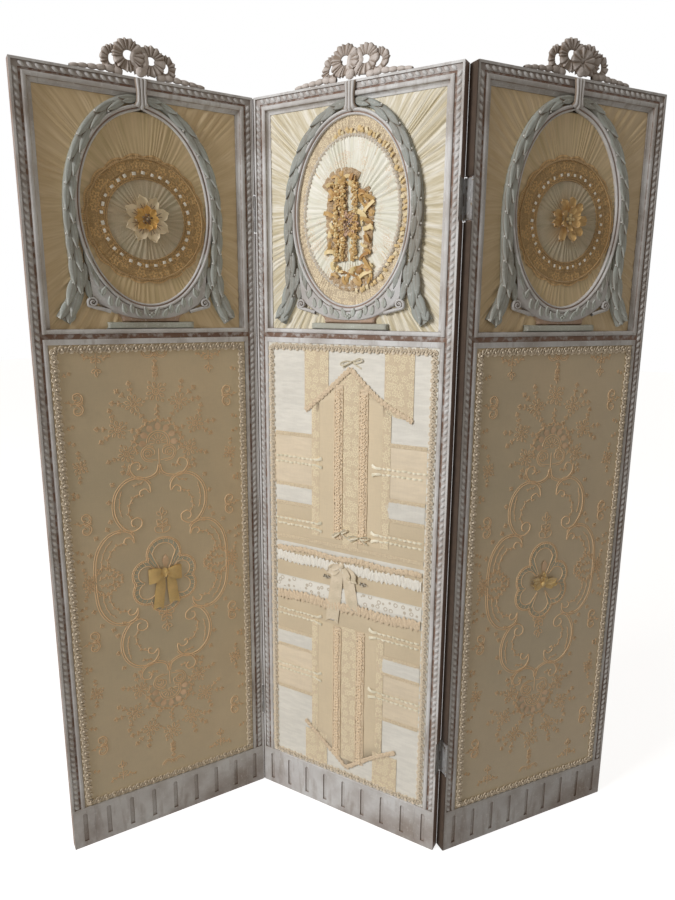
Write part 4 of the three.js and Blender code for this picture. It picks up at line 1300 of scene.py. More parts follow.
def radial_silk(name, base, contrast=1.0):
    """Thin silk whose fine gathers run from the oval to the frame."""
    made, shader, surface = start_material(name)
    flat = shader.own_map()
    parts = shader.split(flat)
    place = shader.add(
        "CombineXYZ", {0: shader.times(parts["X"], 420.0), 1: shader.times(parts["Y"], 1.6)}
    ).outputs[0]
    fine = shader.noise(place, 1.0, 3.0)
    coarse = shader.noise(place, 0.32, 2.0)
    # Painted shade: the colour darkens and warms in the valleys of the gathers.
    shade = shader.remap(shader.plus(fine, coarse), 0.82, 1.2, 1.0 - 0.3 * contrast, 1.03)
    warm = shader.math("POWER", shade, 2.0)
    grey = shader.shade(shade, shader.math("POWER", shade, 1.25), warm)
    finish_material(
        shader, surface, 0.5, shader.mix(1.0, base, grey, "MULTIPLY"), fine, 0.7 * contrast, 0.0012,
        Sheen_Weight=0.35,
    )
    return made


def gathered_disc(bm, half_x, half_z, centre_z, depth, folds, fold_depth, rings, steps, seed, material=0,
                  inner=0.0, centre_x=0.0):
    """A round of cloth gathered towards its middle."""
    edges = fold_row(folds, seed)

    def place(u, v):
        angle = tau * u
        share = inner + (1 - inner) * v
        height = fold_depth * fold_height(edges, u + 0.003 * soft(u * 30, v * 3)) * min(1.0, share * 2.2)
        return Vector((
            centre_x + half_x * share * cos(angle), depth - height, centre_z + half_z * share * sin(angle),
        ))

    made = shaped_grid(bm, steps, rings, place, material)
    turn_over(made)


# Medallions
def ring_path(radius, centre_z, steps, half_z=None, centre_x=0.0):
    tall = half_z or radius
    return [
        Vector((centre_x + radius * cos(tau * s / steps), centre_z + tall * sin(tau * s / steps)))
        for s in range(steps)
    ]


def dress_round_medallion(leaf):
    """Oval of gathered silk with a round of gold lace, net and ribbon threaded through it."""
    ground = fresh_mesh()
    gathered_disc(ground, 132, 189.5, OVAL_CENTRE, -0.8, 90, 1.8, 14, 540, 31)
    # The right leaf's lower share is painted shade.
    shade = {"left": 1.0, "right": 0.95}[leaf]
    silk = new_piece(
        f"{leaf}_oval_silk", ground, leaf,
        [gathered_cloth(f"{leaf} oval silk", tinted("silk", shade), 90.0, 0.22, strength=0.35)],
    )
    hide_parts(f"{leaf}_medallion")
    lay_lace_edging(leaf)
    lace = fresh_mesh()
    gathered_disc(lace, 119.5, 119.5, LACE_CENTRE, -3.6, 60, 1.3, 7, 420, 37, inner=0.66)
    band = new_piece(
        f"{leaf}_gold_lace", lace, leaf,
        [
            lace_cloth(
                f"{leaf} gold lace", leaf, tinted("gold_lace", shade), tinted("gold_lace", shade * 0.55),
                38.0,
            )
        ],
    )
    net = fresh_mesh()
    gathered_disc(net, 81, 81, LACE_CENTRE, -3.4, 46, 1.9, 9, 368, 41)
    disc = new_piece(
        f"{leaf}_net_disc", net, leaf,
        [net_cloth(f"{leaf} net", tinted("net", shade))],
    )
    thread = fresh_mesh()
    for radius, thick in ((119.5, 1.7), (80.5, 1.3), (99.5, 0.7), (84, 0.8)):
        cord(thread, ring_path(radius, LACE_CENTRE, 110), thick, -5.0, loop=True)
    new_piece(
        f"{leaf}_medallion_cords", thread, leaf,
        [twisted_cord("gold cord", tinted("gold_lace", 0.72), tinted("gold_lace", 0.35), 150.0)], closed=True,
    )
    thread_ribbon(leaf)


def lay_lace_edging(leaf):
    """Scalloped and frilled edging round the gold lace."""
    edging = fresh_mesh()

    def place(u, v):
        angle = tau * u
        scallop = 1.0 - 0.04 * (1 - abs(cos(angle * 9)))
        radius = (113 + 16.5 * v) * (1 if v < 0.5 else scallop)
        frill = 1.5 * sin(angle * 54 + 2 * soft(u * 30, 0)) * v
        return Vector((radius * cos(angle), -3.0 - frill * 0.6, LACE_CENTRE + radius * sin(angle)))

    turn_over(shaped_grid(edging, 432, 4, place))
    rim = new_piece(
        f"{leaf}_lace_edging", edging, leaf, [edging_lace(f"{leaf} edging lace", leaf)],
    )


def thread_ribbon(leaf):
    """Short white stitches of the ribbon that is threaded through the lace."""
    ribbon = fresh_mesh()
    draw = random.Random(60 + len(leaf))
    count = 31 if leaf == "left" else 34
    for index in range(count):
        angle = tau * (index + draw.uniform(-0.16, 0.16)) / count
        wide = draw.uniform(3.1, 4.3) if leaf == "left" else draw.uniform(2.3, 3.2)
        tall = draw.uniform(5.0, 6.8)
        turn = angle + pi / 2 + draw.uniform(-0.25, 0.25)
        spot = around((0, LACE_CENTRE), 91 + draw.uniform(-1.2, 1.2), angle)

        def place(u, v):
            x = (u - 0.5) * 2 * wide
            z = (v - 0.5) * tall
            y = -5.9 - 1.1 * cos((u - 0.5) * 2.8)
            return Vector(
                (spot[0] + x * cos(turn) - z * sin(turn), y, spot[1] + x * sin(turn) + z * cos(turn))
            )

        shaped_grid(ribbon, 4, 2, place)
    new_piece(
        f"{leaf}_threaded_ribbon", ribbon, leaf,
        [plain_cloth("threaded white ribbon", rgb(255, 250, 236), 0.4, 0.5)], weld=0,
    )


def net_cloth(name, base):
    """Fine grey net laid in soft gathers over cloth."""
    made, shader, surface = start_material(name)
    folds = shader.group("Gathers", {"Count": 52.0, "Colour": base, "Shade": 0.3})
    place = shader.here()
    patches = shader.remap(shader.noise(place, 22.0, 3.0), 0.4, 0.66)
    mixed = shader.mix(shader.times(patches, 0.55), folds["Colour"], rgb(206, 178, 136))
    holes = shader.add(
        "TexVoronoi", {"Vector": place, "Scale": 620.0, "Randomness": 0.3}, feature="DISTANCE_TO_EDGE"
    ).outputs["Distance"]
    net = shader.remap(holes, 0.2, 0.06)
    height = shader.plus(folds["Height"], shader.times(net, 0.3))
    finish_material(
        shader, surface, 0.75, shader.mix(shader.times(net, 0.25), mixed, (0.85, 0.83, 0.75, 1)), height,
        0.5, 0.0012, Sheen_Weight=0.15,
    )
    return made


def edging_lace(name, leaf):
    """Pale lace with darker bars between its threads."""
    made, shader, surface = start_material(name)
    flat = shader.own_map()
    parts = shader.split(flat)
    bars = shader.math("SINE", shader.times(parts["X"], tau * 190))
    lines = shader.math("SINE", shader.times(parts["Y"], tau * 2.5))
    place = leaf_place(shader, leaf)
    mixed = shader.plus(shader.times(bars, 0.5), lines)
    mask = shader.remap(shader.plus(mixed, shader.noise(place, 260.0)), -0.6, 1.3)
    finish_material(
        shader, surface, 0.75, shader.mix(mask, tinted("pale_lace", 0.62), colour("pale_lace")), mask, 0.6,
        0.0008, Sheen_Weight=0.2,
    )
    return made


# White field of the centre medallion, in millimetres
FIELD_HALF_WIDTH = 111.0
FIELD_HALF_HEIGHT = 150.0


def dress_cream_flower():
    """Left leaf's flower: eight cream petals round gold ones with knots at the heart."""
    bm = fresh_mesh()
    draw = random.Random(3)
    middle = (0.0, LACE_CENTRE + 1)
    for index in range(8):
        angle = tau * index / 8 + 0.35 + draw.uniform(-0.06, 0.06)
        base = around(middle, 9, angle)
        petal(bm, base, angle, draw.uniform(37, 42), draw.uniform(25, 29), -6.0, 4.2, 2.6, 0.7, blunt=0.8)
        for way in (-0.13, 0.13):
            vein = [base, around(base, 14, angle + way), around(base, 25, angle + way * 1.3)]
            cord(bm, smooth_path(vein, 3), 0.5, -10.2, sides=4, material=2)
    for index in range(8):
        angle = tau * index / 8 + draw.uniform(-0.1, 0.1)
        long = draw.uniform(19, 24)
        petal(bm, around(middle, 5, angle), angle, long, 17, -9.5, 3.2, 2.6, 0.9, material=1, blunt=0.8)
    for index in range(13):
        reach = 0 if index == 0 else (5.5 if index < 6 else 9.5)
        x, z = around(middle, reach, index * 2.4)
        bead(bm, x, -13.0 + reach * 0.22, z, draw.uniform(2.1, 3.0), 0.9, material=2 if index % 3 else 3)
    new_piece(
        "left_cloth_flower", bm, "left",
        [
            plain_cloth("cream petals", colour("cream"), 0.5, 0.4),
            plain_cloth("gold petals", colour("gold"), 0.5, 0.4),
            plain_cloth("brown knots", rgb(126, 92, 58), 0.6, 0.2),
            plain_cloth("beige knots", rgb(196, 170, 140), 0.6, 0.2),
        ],
        weld=0,
    )


def dress_gold_flower():
    """Right leaf's flower: folded gold petals round ball stamens."""
    bm = fresh_mesh()
    draw = random.Random(9)
    middle = (0.0, LACE_CENTRE + 4)
    for ring, (count, reach, long, wide, depth) in enumerate(((9, 15, 33, 21, -6.0), (6, 8, 20, 17, -9.5))):
        for index in range(count):
            angle = tau * (index + 0.4 * ring) / count + draw.uniform(-0.12, 0.12)
            base = around(middle, reach, angle)
            long_here = long * draw.uniform(0.9, 1.1)
            petal(
                bm, base, angle + draw.uniform(-0.15, 0.15), long_here, wide, depth, 4.5, 3.6, 1.2, blunt=0.7,
            )
            tip = around(base, long_here * 0.55, angle)
            petal(bm, tip, angle + 0.5, long_here * 0.4, wide * 0.62, depth - 3.6, 2.4, 2.6, 0.8, blunt=0.7)
    for index in range(5):
        x, z = around(middle, 7.5 if index else 0, index * 2 * pi / 4)
        bead(bm, x, -14.0, z, 4.4, 0.8, material=1, detail=2)
    new_piece(
        "right_cloth_flower", bm, "right",
        [
            plain_cloth("old gold petals", rgb(226, 190, 128), 0.5, 0.4),
            plain_cloth("ball stamens", rgb(206, 182, 132), 0.6, 0.3),
        ],
        weld=0,
    )


def ruched_rows(bm, draw):
    """Three upright rows of puckered ribbon."""
    for x, wide in ((-32, 6.5), (-17, 6.5), (11, 7.0)):
        z = 1336.0
        while z < 1487:
            for _ in range(4):
                bead(
                    bm, x + draw.uniform(-wide, wide), draw.uniform(-10.8, -6.4), z + draw.uniform(-2.4, 2.4),
                    draw.uniform(2.0, 4.0), draw.uniform(0.6, 1.0), material=1 if draw.random() < 0.36 else 0,
                )
            ends = [
                (x + draw.uniform(-wide, 0), -9.0, z), (x, -11.8, z + draw.uniform(-3, 3)),
                (x + draw.uniform(0, wide), -8.6, z + draw.uniform(-3, 3)),
            ]
            ribbon_strip(
                bm, ends, draw.uniform(3, 5), 1 if draw.random() < 0.3 else 0, draw.uniform(-0.8, 0.8), 4.0,
            )
            z += 4.4
# How many folds, left, right, low, high, longest, and how far they stand out
WREATH_CLUSTERS = (
    (26, -42, 52, 1283, 1338, 26, 1.0), (18, -40, 26, 1482, 1506, 22, 0.9),
    (22, 22, 52, 1345, 1480, 26, 1.0), (6, -56, -38, 1345, 1470, 24, 0.5),
)


def ribbon_clusters(bm, draw):
    """Folded ribbon laid every way within the wreath's outline."""
    for count, left, right, low, high, long_most, lift in WREATH_CLUSTERS:
        for index in range(count):
            start = Vector((draw.uniform(left, right), draw.uniform(-9.5, -4.5), draw.uniform(low, high)))
            angle = draw.uniform(0, tau)
            long = draw.uniform(0.5, 1.0) * long_most
            rise = -draw.uniform(1, 3.0) * lift
            middle = start + Vector((cos(angle) * long * 0.5, rise, sin(angle) * long * 0.5))
            finish = middle + Vector((cos(angle + 0.6) * long * 0.5, 2.0, sin(angle + 0.6) * long * 0.5))
            for point in (start, middle, finish):
                point.x = min(56, max(-64, point.x))
                point.y = min(-4.2, max(-11.8, point.y))
                point.z = min(1508, max(1279, point.z))
            points = [start, middle, finish]
            ribbon_strip(bm, points, draw.uniform(5.5, 10), (0, 1, 0, 4)[index % 4], draw.uniform(-0.8, 0.8))
    for x, z, end_x, end_z, pale in (
        (-40, 1424, -64, 1432, 0), (-38, 1352, -62, 1350, 1), (-38, 1462, -50, 1478, 0),
        (30, 1462, 56, 1452, 0),
        (56, 1450, 26, 1420, 1), (24, 1416, 50, 1408, 0), (28, 1344, 52, 1310, 0), (52, 1312, 20, 1296, 1),
    ):
        ribbon_strip(
            bm, [(x, -8, z), ((x + end_x) / 2, -11, (z + end_z) / 2 + 2), (end_x, -7, end_z)], 9, pale, 0.3,
        )


def gather_posy(bm, draw):
    """Round of buds with small petals, in the middle of the wreath."""
    middle = (-3, 1407)
    for index in range(44):
        reach = 21 * sqrt(index / 44)
        x, z = around(middle, reach, index * 2.4)
        bead(bm, x, -11.2 + reach * 0.1, z, draw.uniform(2.0, 3.6), 0.9, material=(2, 3, 0, 2)[index % 4])
    for index in range(14):
        angle = tau * index / 14
        petal(bm, around(middle, 12, angle), angle, 15, 10, -8.0, 2.5, 1.8, 0.8, material=(2, 0)[index % 2])


def frill_wreath():
    """Tan lace frill that shows round the wreath."""
    frill = fresh_mesh()
    for points, width in (
        ([(-60, 1478), (-38, 1503), (-6, 1507), (18, 1496)], 24),
        ([(34, 1476), (46, 1440), (42, 1380), (40, 1346)], 20),
        ([(-46, 1480), (-52, 1420), (-48, 1350)], 14),
        ([(-44, 1306), (-20, 1286), (16, 1284), (44, 1300)], 22),
        ([(-22, 1332), (-25, 1400), (-24, 1486)], 34),
    ):
        line = smooth_path(points, 1.6)

        def section(u, v):
            frilled = sin(v * len(line) * 0.72)
            depth = -4.4 - 1.4 * frilled * (0.3 + 1.4 * abs(u - 0.5)) - 1.2 * cos((u - 0.5) * 3)
            return (u - 0.5) * width, depth

        sweep(frill, line, 6, section)
    made = new_piece(
        "centre_wreath_frill", frill, "centre",
        [lace_cloth("wreath frill lace", "centre", rgb(232, 208, 174), rgb(176, 142, 98), 130.0)],
    )


def dress_oval_medallion():
    """Centre leaf: white silk gathered round, with a border of tan lace and a ruched ribbon."""
    leaf = "centre"
    border = fresh_mesh()
    gathered_disc(border, 131, 188.5, OVAL_CENTRE, -1.0, 120, 2.0, 8, 720, 51, inner=0.7)
    lace = new_piece(
        "centre_lace_border", border, leaf,
        [lace_cloth("centre lace border", leaf, tinted("tan", 1.25), tinted("tan", 0.78), 62.0)],
    )
    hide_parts("centre_medallion")
    field = fresh_mesh()
    gathered_disc(field, FIELD_HALF_WIDTH, FIELD_HALF_HEIGHT, OVAL_CENTRE, -2.4, 64, 2.6, 14, 620, 53)
    silk = new_piece(
        "centre_oval_silk", field, leaf, [embroidered_silk("embroidered white silk", leaf)],
    )
    edge = fresh_mesh()
    path = ring_path(FIELD_HALF_WIDTH + 1.5, OVAL_CENTRE, 420, FIELD_HALF_HEIGHT + 1.5)
    last = len(path)

    def section(u, v):
        wide = 8.5
        frill = sin(v * pi * 2 * 105 + 3 * soft(v * 40, 3))
        depth = -4.4 - 1.4 * cos((u - 0.5) * 5) - 1.2 * frill * abs(2 * u - 1)
        return (u - 0.5) * wide * (1 + 0.2 * frill), depth

    sweep(edge, [path[-i % last] for i in range(last)], 5, section, loop=True)
    trim = new_piece(
        "centre_oval_ruche", edge, leaf,
        [lace_cloth("ruched pale lace", leaf, tinted("white", 0.98), tinted("tan", 0.85), 210.0)],
    )
    ribbon = fresh_mesh()
    draw = random.Random(91)
    for index in range(46):
        angle = radians(112 - index * 4.3 + draw.uniform(-1, 1))
        share = draw.uniform(0.93, 0.985) * (0.985 - 0.05 * abs(sin(angle)))
        middle = Vector((131 * share * cos(angle), OVAL_CENTRE + 188.5 * share * sin(angle) * 0.94))
        turn = angle + draw.uniform(-0.5, 0.9)
        long = draw.uniform(8, 13)
        reach = Vector((cos(turn), sin(turn))) * long / 2
        points = [
            (middle.x - reach.x, -3.6, middle.y - reach.y), (middle.x, -6.2, middle.y),
            (middle.x + reach.x, -3.8, middle.y + reach.y),
        ]
        ribbon_strip(ribbon, points, draw.uniform(5, 7.5), index % 3 == 0, draw.uniform(-0.3, 0.3))
    new_piece(
        "centre_ruched_ribbon", ribbon, leaf,
        [
            plain_cloth("ruched gold ribbon", rgb(238, 208, 150), 0.5, 0.4),
            plain_cloth("ruched pale ribbon", rgb(250, 232, 190), 0.5, 0.4),
        ],
        weld=0,
    )


def embroidered_silk(name, leaf):
    """White silk with pale buff flowers scattered on it."""
    made, shader, surface = start_material(name)
    place = leaf_place(shader, leaf)
    folds = shader.group("Gathers", {"Count": 110.0, "Colour": tinted("white", 1.12), "Shade": 0.22})
    lace = shader.group(
        "Lace", {"Vector": place, "Motifs": 48.0, "Thread": tinted("tan", 1.0), "Ground": colour("white")}
    )
    patches = shader.remap(shader.noise(place, 26.0, 2.0), 0.46, 0.6)
    mask = shader.times(shader.remap(lace["Cover"], 0.72, 0.95), patches)
    finish_material(
        shader, surface, 0.5, shader.mix(shader.times(mask, 0.8), folds["Colour"], tinted("tan", 0.95)),
        folds["Height"], 0.6, 0.0014, Sheen_Weight=0.3,
    )
    return made


def ribbon_strip(bm, points, width, material=0, tilt=0.0, spacing=3.0):
    """A flat ribbon through points (x, y, z), with its width across the way it runs."""
    path = [Vector(point) for point in points]
    fine = []
    for index in range(len(path) - 1):
        before = path[max(index - 1, 0)]
        after = path[min(index + 2, len(path) - 1)]
        start, end = path[index], path[index + 1]
        steps = max(3, round((end - start).length / spacing) + 1)
        fine += interpolate_bezier(start, start + (end - before) / 6, end - (after - start) / 6, end, steps)[
            :-1
        ]
    fine.append(path[-1])
    last = len(fine) - 1

    def place(u, v):
        index = round(v * last)
        ahead = (fine[min(index + 1, last)] - fine[max(index - 1, 0)]).normalized()
        side = Vector((ahead.z, tilt, -ahead.x))
        if side.length < 0.1:
            side = Vector((1.0, tilt, 0.0))
        wide = width(v) if callable(width) else width
        bow = 0.06 * wide * (1 - (2 * u - 1) ** 2)
        return fine[index] + side.normalized() * ((u - 0.5) * wide) - Vector((0, bow, 0))

    shaped_grid(bm, 5, last, place, material)


def dress_wreath():
    """Long wreath of ruched gold ribbon with folded ends, a tan frill and a posy."""
    bm = fresh_mesh()
    draw = random.Random(77)
    ruched_rows(bm, draw)
    ribbon_clusters(bm, draw)
    gather_posy(bm, draw)
    new_piece(
        "centre_ribbon_wreath", bm, "centre",
        [
            plain_cloth("wreath gold ribbon", rgb(212, 172, 106), 0.45, 0.5),
            plain_cloth("wreath pale ribbon", rgb(252, 228, 172), 0.45, 0.5),
            plain_cloth("posy buds", rgb(206, 172, 146), 0.6, 0.3),
            plain_cloth("posy hearts", rgb(126, 94, 66), 0.6, 0.3),
            plain_cloth("wreath brown ribbon", rgb(184, 138, 78), 0.45, 0.5),
        ],
        weld=0,
    )
    frill_wreath()


# Satin panels with corded scrollwork
CORD_DEPTH = PANEL_FACE - 0.2
FIRST_SCROLL = [
    (-37.3, 827.6), (-45.1, 823.8), (-46, 834.7), (-33.9, 839.5), (-23.7, 830), (-24.2, 846.7), (-36.4, 861),
    (-58.2, 864.8), (-80, 856), (-97, 834.7), (-103.3, 806), (-98.4, 777.5), (-82.4, 753.6), (-63, 746.4),
    (-47, 756), (-46, 770), (-56.7, 776), (-67.9, 770), (-66.4, 758.4), (-58, 757),
]
SECOND_SCROLL = [
    (-80, 716.9), (-87.3, 722.6), (-82.4, 732), (-70.3, 729.7), (-65, 717.8), (-66, 733), (-75, 744),
    (-94.5, 748.8), (-118.8, 741.7), (-138.2, 720), (-147.9, 694), (-151.3, 660.5), (-151.3, 640.5),
]
HEART_SCROLL = [
    (-2.4, 894.4), (-7.3, 875.3), (-26.7, 865.8), (-50.9, 868), (-64.5, 884.9), (-60.6, 899), (-46, 901.6),
    (-42.2, 889.6), (-50.9, 884),
]
UPPER_HEART = [
    (-2.4, 902), (-12, 903), (-29, 906.7), (-35, 921), (-24.2, 932.6), (-10.7, 928), (-9.7, 916.9),
    (-19.4, 914.5),
]
SIDE_SCROLL = [(-168, 0), (-156, 3), (-153, 14), (-161, 23), (-171, 19), (-170, 9), (-163, 10)]
LOBES = ((0, 58, 40), (40, 14, 34), (-40, 14, 34), (40, -26, 34), (-40, -26, 34), (0, -50, 36))
LOBE_MIDDLE = 624.0
SHELL = (0, 943)


def both_sides(points):
    return [points, mirrored(points)]


def four_ways(points):
    return both_sides(points) + both_sides(upturned(points))


def stroke(bm, points, radius, loop=False, spacing=3.0, depth=CORD_DEPTH, material=0):
    cord(bm, smooth_path(points, spacing, loop), radius, depth, sides=5, loop=loop, material=material)


def lobed_edge(angle, inward):
    """A point of the six-lobed cutwork, drawn in by a distance."""
    reach = 26.0
    for x, z, radius in LOBES:
        along = x * cos(angle) + z * sin(angle)
        room = along * along - x * x - z * z + (radius - inward) ** 2
        if room > 0:
            reach = max(reach, along + sqrt(room))
    return around((0, LOBE_MIDDLE), reach, angle)


def loop_leaf(strokes, base, angle, length, width):
    """A leaf or petal drawn as one closed loop."""
    middle = around(base, length * 0.55, angle)
    side = angle + pi / 2
    strokes.append(
        ([base, around(middle, width, side), around(base, length, angle), around(middle, -width, side)], True)
    )


def trefoil(strokes, base, angle, size):
    """A stem that ends in three small loops."""
    top = around(base, size * 0.45, angle)
    strokes.append(([base, top], False))
    for turn, long in ((-0.95, 0.6), (0.0, 0.8), (0.95, 0.6)):
        loop_leaf(strokes, top, angle + turn, size * long, size * 0.16)


def twig(strokes, base, angle, length):
    """A stem with a pair of small leaves and three at its end."""
    strokes.append(([base, around(base, length * 0.6, angle)], False))
    spot = around(base, length * 0.3, angle)
    for turn in (-0.9, 0.9):
        loop_leaf(strokes, spot, angle + turn, length * 0.28, length * 0.07)
    trefoil(strokes, around(base, length * 0.6, angle), angle, length * 0.45)


def flower(strokes, x, z, size, twigs=()):
    """A looped flower with a double ring at its heart and twigs outside it."""
    for radius in (0.13, 0.25):
        strokes.append(([around((x, z), size * radius, tau * s / 8) for s in range(8)], True))
    for index in range(8):
        turn = tau * index / 8 + z
        loop_leaf(strokes, around((x, z), size * 0.34, turn), turn, size * 0.4, size * 0.1)
        if index % 2:
            half = turn + pi / 8
            loop_leaf(strokes, around((x, z), size * 0.72, half), half, size * 0.24, size * 0.07)
    for heading in twigs:
        angle = radians(heading)
        twig(strokes, around((x, z), size * 0.8, angle), angle, size * 0.95)


def leafy_line(strokes, points, pitch=9.0, size=6.0):
    """A line with small leaves on both its sides."""
    path = smooth_path(points, pitch)
    strokes.append((points, False))
    for index in range(1, len(path) - 1):
        ahead = path[index + 1] - path[index - 1]
        angle = atan2(ahead.y, ahead.x) + (0.95 if index % 2 else -0.95)
        loop_leaf(strokes, tuple(path[index]), angle, size, size * 0.26)


def beside(points, gap):
    """A line beside another, at a gap to its left."""
    path = smooth_path(points, 8.0)
    last = len(path) - 1
    made = []
    for index, point in enumerate(path):
        ahead = (path[min(index + 1, last)] - path[max(index - 1, 0)]).normalized()
        made.append((point.x - ahead.y * gap, point.y + ahead.x * gap))
    return made


def quarter_strokes():
    """Thick and thin cords of the upper left quarter of a satin panel."""
    thick = [(FIRST_SCROLL, False), (SECOND_SCROLL, False), (HEART_SCROLL, False)]
    thin = [
        (beside(FIRST_SCROLL[5:14], -4.6), False), (beside(SECOND_SCROLL[5:], -4.6), False),
        (beside(HEART_SCROLL[:6], 4.2), False), (UPPER_HEART, False), (beside(UPPER_HEART[1:6], 4.0), False),
    ]
    leafy_line(thin, [(-44, 829), (-60, 824), (-71, 805), (-73, 785), (-66, 772)])
    leafy_line(thin, [(-84, 722), (-102, 719), (-116, 706), (-124, 688), (-127, 664)])
    leafy_line(thin, [(-50, 896), (-38, 888), (-26, 886)], 6.0, 6.5)
    leafy_line(thin, [(-86, 842), (-91, 822), (-92, 800), (-87, 780)], 9.0, 4.0)
    leafy_line(thin, [(-36, 858), (-50, 851), (-64, 852)], 7.0, 4.5)
    leafy_line(thin, [(-112, 733), (-128, 715), (-137, 690), (-139, 662)], 9.0, 4.0)
    for x, z, angle in (
        (-98, 853, 145), (-107, 818, 175), (-106, 778, 200), (-92, 754, 225), (-140, 738, 140),
        (-153, 705, 170),
        (-66, 872, 110), (-118, 752, 115),
    ):
        trefoil(thin, (x, z), radians(angle), 11)
    flower(thin, -50, 1031, 27, (100, 140, 175, -60))
    flower(thin, -86, 978, 26, (110, 175, 215, -10))
    flower(thin, -70, 923, 25, (200, 60, 255))
    flower(thin, -167, 903, 19, (95, -95))
    flower(thin, -166, 648, 18, (110,))
    for z in (1037, 777):
        for way in (-1, 1):
            scroll = [(x, z + way * rise) for x, rise in SIDE_SCROLL]
            thick.append((scroll, False))
            thin.append((beside(scroll[:5], 3.6 * way), False))
        leafy_line(thin, [(-190, z + 6), (-176, z + 2), (-150, z)], 7.0, 6.0)
    for points in (
        [(-152, 652), (-140, 672), (-121, 668), (-92, 641)], [(-146, 645), (-128, 652), (-104, 643)],
    ):
        leafy_line(thin, points, 5.5, 7.0)
    twig(thin, (-122, 1143), radians(-90), 44)
    for way in (-1, 1):
        leafy_line(thin, [(-122 + way * 3, 1136), (-122 + way * 18, 1131), (-122 + way * 30, 1139)], 6.0, 6.0)
    for z in (1095, 985, 960, 850, 835, 720, 700):
        twig(thin, (-191, z), radians(20 if z % 2 else -25), 17)
    return thick, thin


def middle_strokes():
    """Cords in the middle of a satin panel's upper half."""
    thin = []
    flower(thin, 0, 1055, 29, (90,))
    twig(thin, (0, 1085), pi / 2, 26)
    leafy_line(thin, [(0, 1030), (0, 996)], 6.0, 7.0)
    for radius in (21, 26):
        thin.append(([around(SHELL, radius, radians(a)) for a in range(-25, 206, 21)], False))
    for step in range(9):
        turn = radians(-10 + step * 25)
        thin.append(([around(SHELL, 6, turn), around(SHELL, 20, turn)], False))
    thin.append(([around(SHELL, 4, tau * s / 6) for s in range(6)], True))
    rim = []
    for step in range(57):
        share = step / 56
        reach = 47 + 5.5 * abs(sin(pi * 9 * share))
        rim.append(around(SHELL, reach, radians(-28 + 236 * share)))
    leafy_line(thin, rim, 7.0, 6.0)
    thin.append(([(0, 868), (0, 930)], False))
    for way in (-1, 1):
        for scale in (1.0, 0.55):
            turns = [(way * (24 + scale * 12 * cos(s * 0.8) * (1 - s * 0.07)),
                      918 + scale * 12 * sin(s * 0.8) * (1 - s * 0.07)) for s in range(9)]
            thin.append((turns, False))
        loop_leaf(thin, (0, 733), pi / 2 - way * 0.9, 22, 7)
        loop_leaf(thin, (0, 750), pi / 2 - way * 0.7, 18, 5)
        arc = [around((way * 15, 1142), 13, radians(a)) for a in range(180, 361, 30)]
        thin += [(arc, False), (beside(arc, 4.0), False)]
    twig(thin, (0, 730), pi / 2, 54)
    twig(thin, (0, 1143), -pi / 2, 24)
    return thin
# The right leaf's lower share is painted shade.
SATIN_SHADE = {"left": 0.88, "right": 0.8}
SATIN_SEED = {"left": 3.0, "right": 9.0}


def dress_satin(leaf):
    """Satin panel with its cords, cutwork and filled petals."""
    bm = fresh_mesh()
    seed = SATIN_SEED[leaf]

    def place(u, v):
        x = (u - 0.5) * 2 * PANEL_HALF_WIDTH
        z = PANEL_LOW + (PANEL_HIGH - PANEL_LOW) * v
        slack = 0.35 * soft(x * 0.012, z * 0.008, seed) + 0.12 * soft(x * 0.05, z * 0.03, seed)
        return Vector((x, PANEL_FACE - slack, z))

    shaped_grid(bm, 60, 130, place)
    shade = SATIN_SHADE[leaf]
    made = new_piece(
        f"{leaf}_satin_panel", bm, leaf,
        [cutwork_satin(f"{leaf} satin", leaf, tinted("satin", shade))],
    )
    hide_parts(f"{leaf}_cloth_panel")
    cords = fresh_mesh()
    radius = sizes().cord_width / MM / 2
    sew_scrolls(cords, radius)
    sew_cutwork(cords, radius)
    open_windows(leaf, shade)
    new_piece(
        f"{leaf}_corded_scrollwork", cords, leaf,
        [
            twisted_cord(
                f"{leaf} tan cord", tinted("cord", shade * 1.14), tinted("tan", 0.5), 60.0, 0.12, 0.12,
            )
        ],
        weld=0.005, closed=True,
    )
    fill_petals(leaf, shade)


def sew_scrolls(cords, radius):
    """Cords of the quarters, and those of the middle line above and below."""
    thick, thin = quarter_strokes()
    for strokes, size in ((thick, radius * 1.05), (thin, radius * 0.74)):
        for points, loop in strokes:
            for copy in four_ways(points):
                stroke(cords, copy, size, loop)
    for points, loop in middle_strokes():
        for copy in (points, upturned(points)):
            stroke(cords, copy, radius * 0.76, loop)


def sew_cutwork(cords, radius):
    """Three cords round the six lobes, with knots on the middle one and bars between the outer two."""
    for inward, size in ((0.0, 0.8), (3.4, 0.7), (14.0, 1.0)):
        edge = [lobed_edge(tau * s / 120, inward) for s in range(120)]
        stroke(cords, edge, radius * size, True)
        if inward == 3.4:
            for point in smooth_path(edge, 5.0, loop=True):
                bead(cords, point.x, CORD_DEPTH - 0.6, point.y, 1.7, 0.8)
    for index in range(44):
        angle = tau * index / 44
        stroke(cords, [lobed_edge(angle, 13.0), lobed_edge(angle, 4.0)], radius * 0.8)


def open_windows(leaf, shade):
    """The paler cloth that shows between the bars of the cutwork."""
    windows = fresh_mesh()

    def place(u, v):
        spot = Vector(lobed_edge(tau * u, 14.0)).lerp(Vector(lobed_edge(tau * u, 3.0)), v)
        return Vector((spot.x, CORD_DEPTH - 0.35, spot.y))

    turn_over(shaped_grid(windows, 120, 2, place))
    new_piece(
        f"{leaf}_cutwork_windows", windows, leaf,
        [plain_cloth(f"{leaf} window cloth", tinted("window", shade), 0.6, 0.2)],
    )


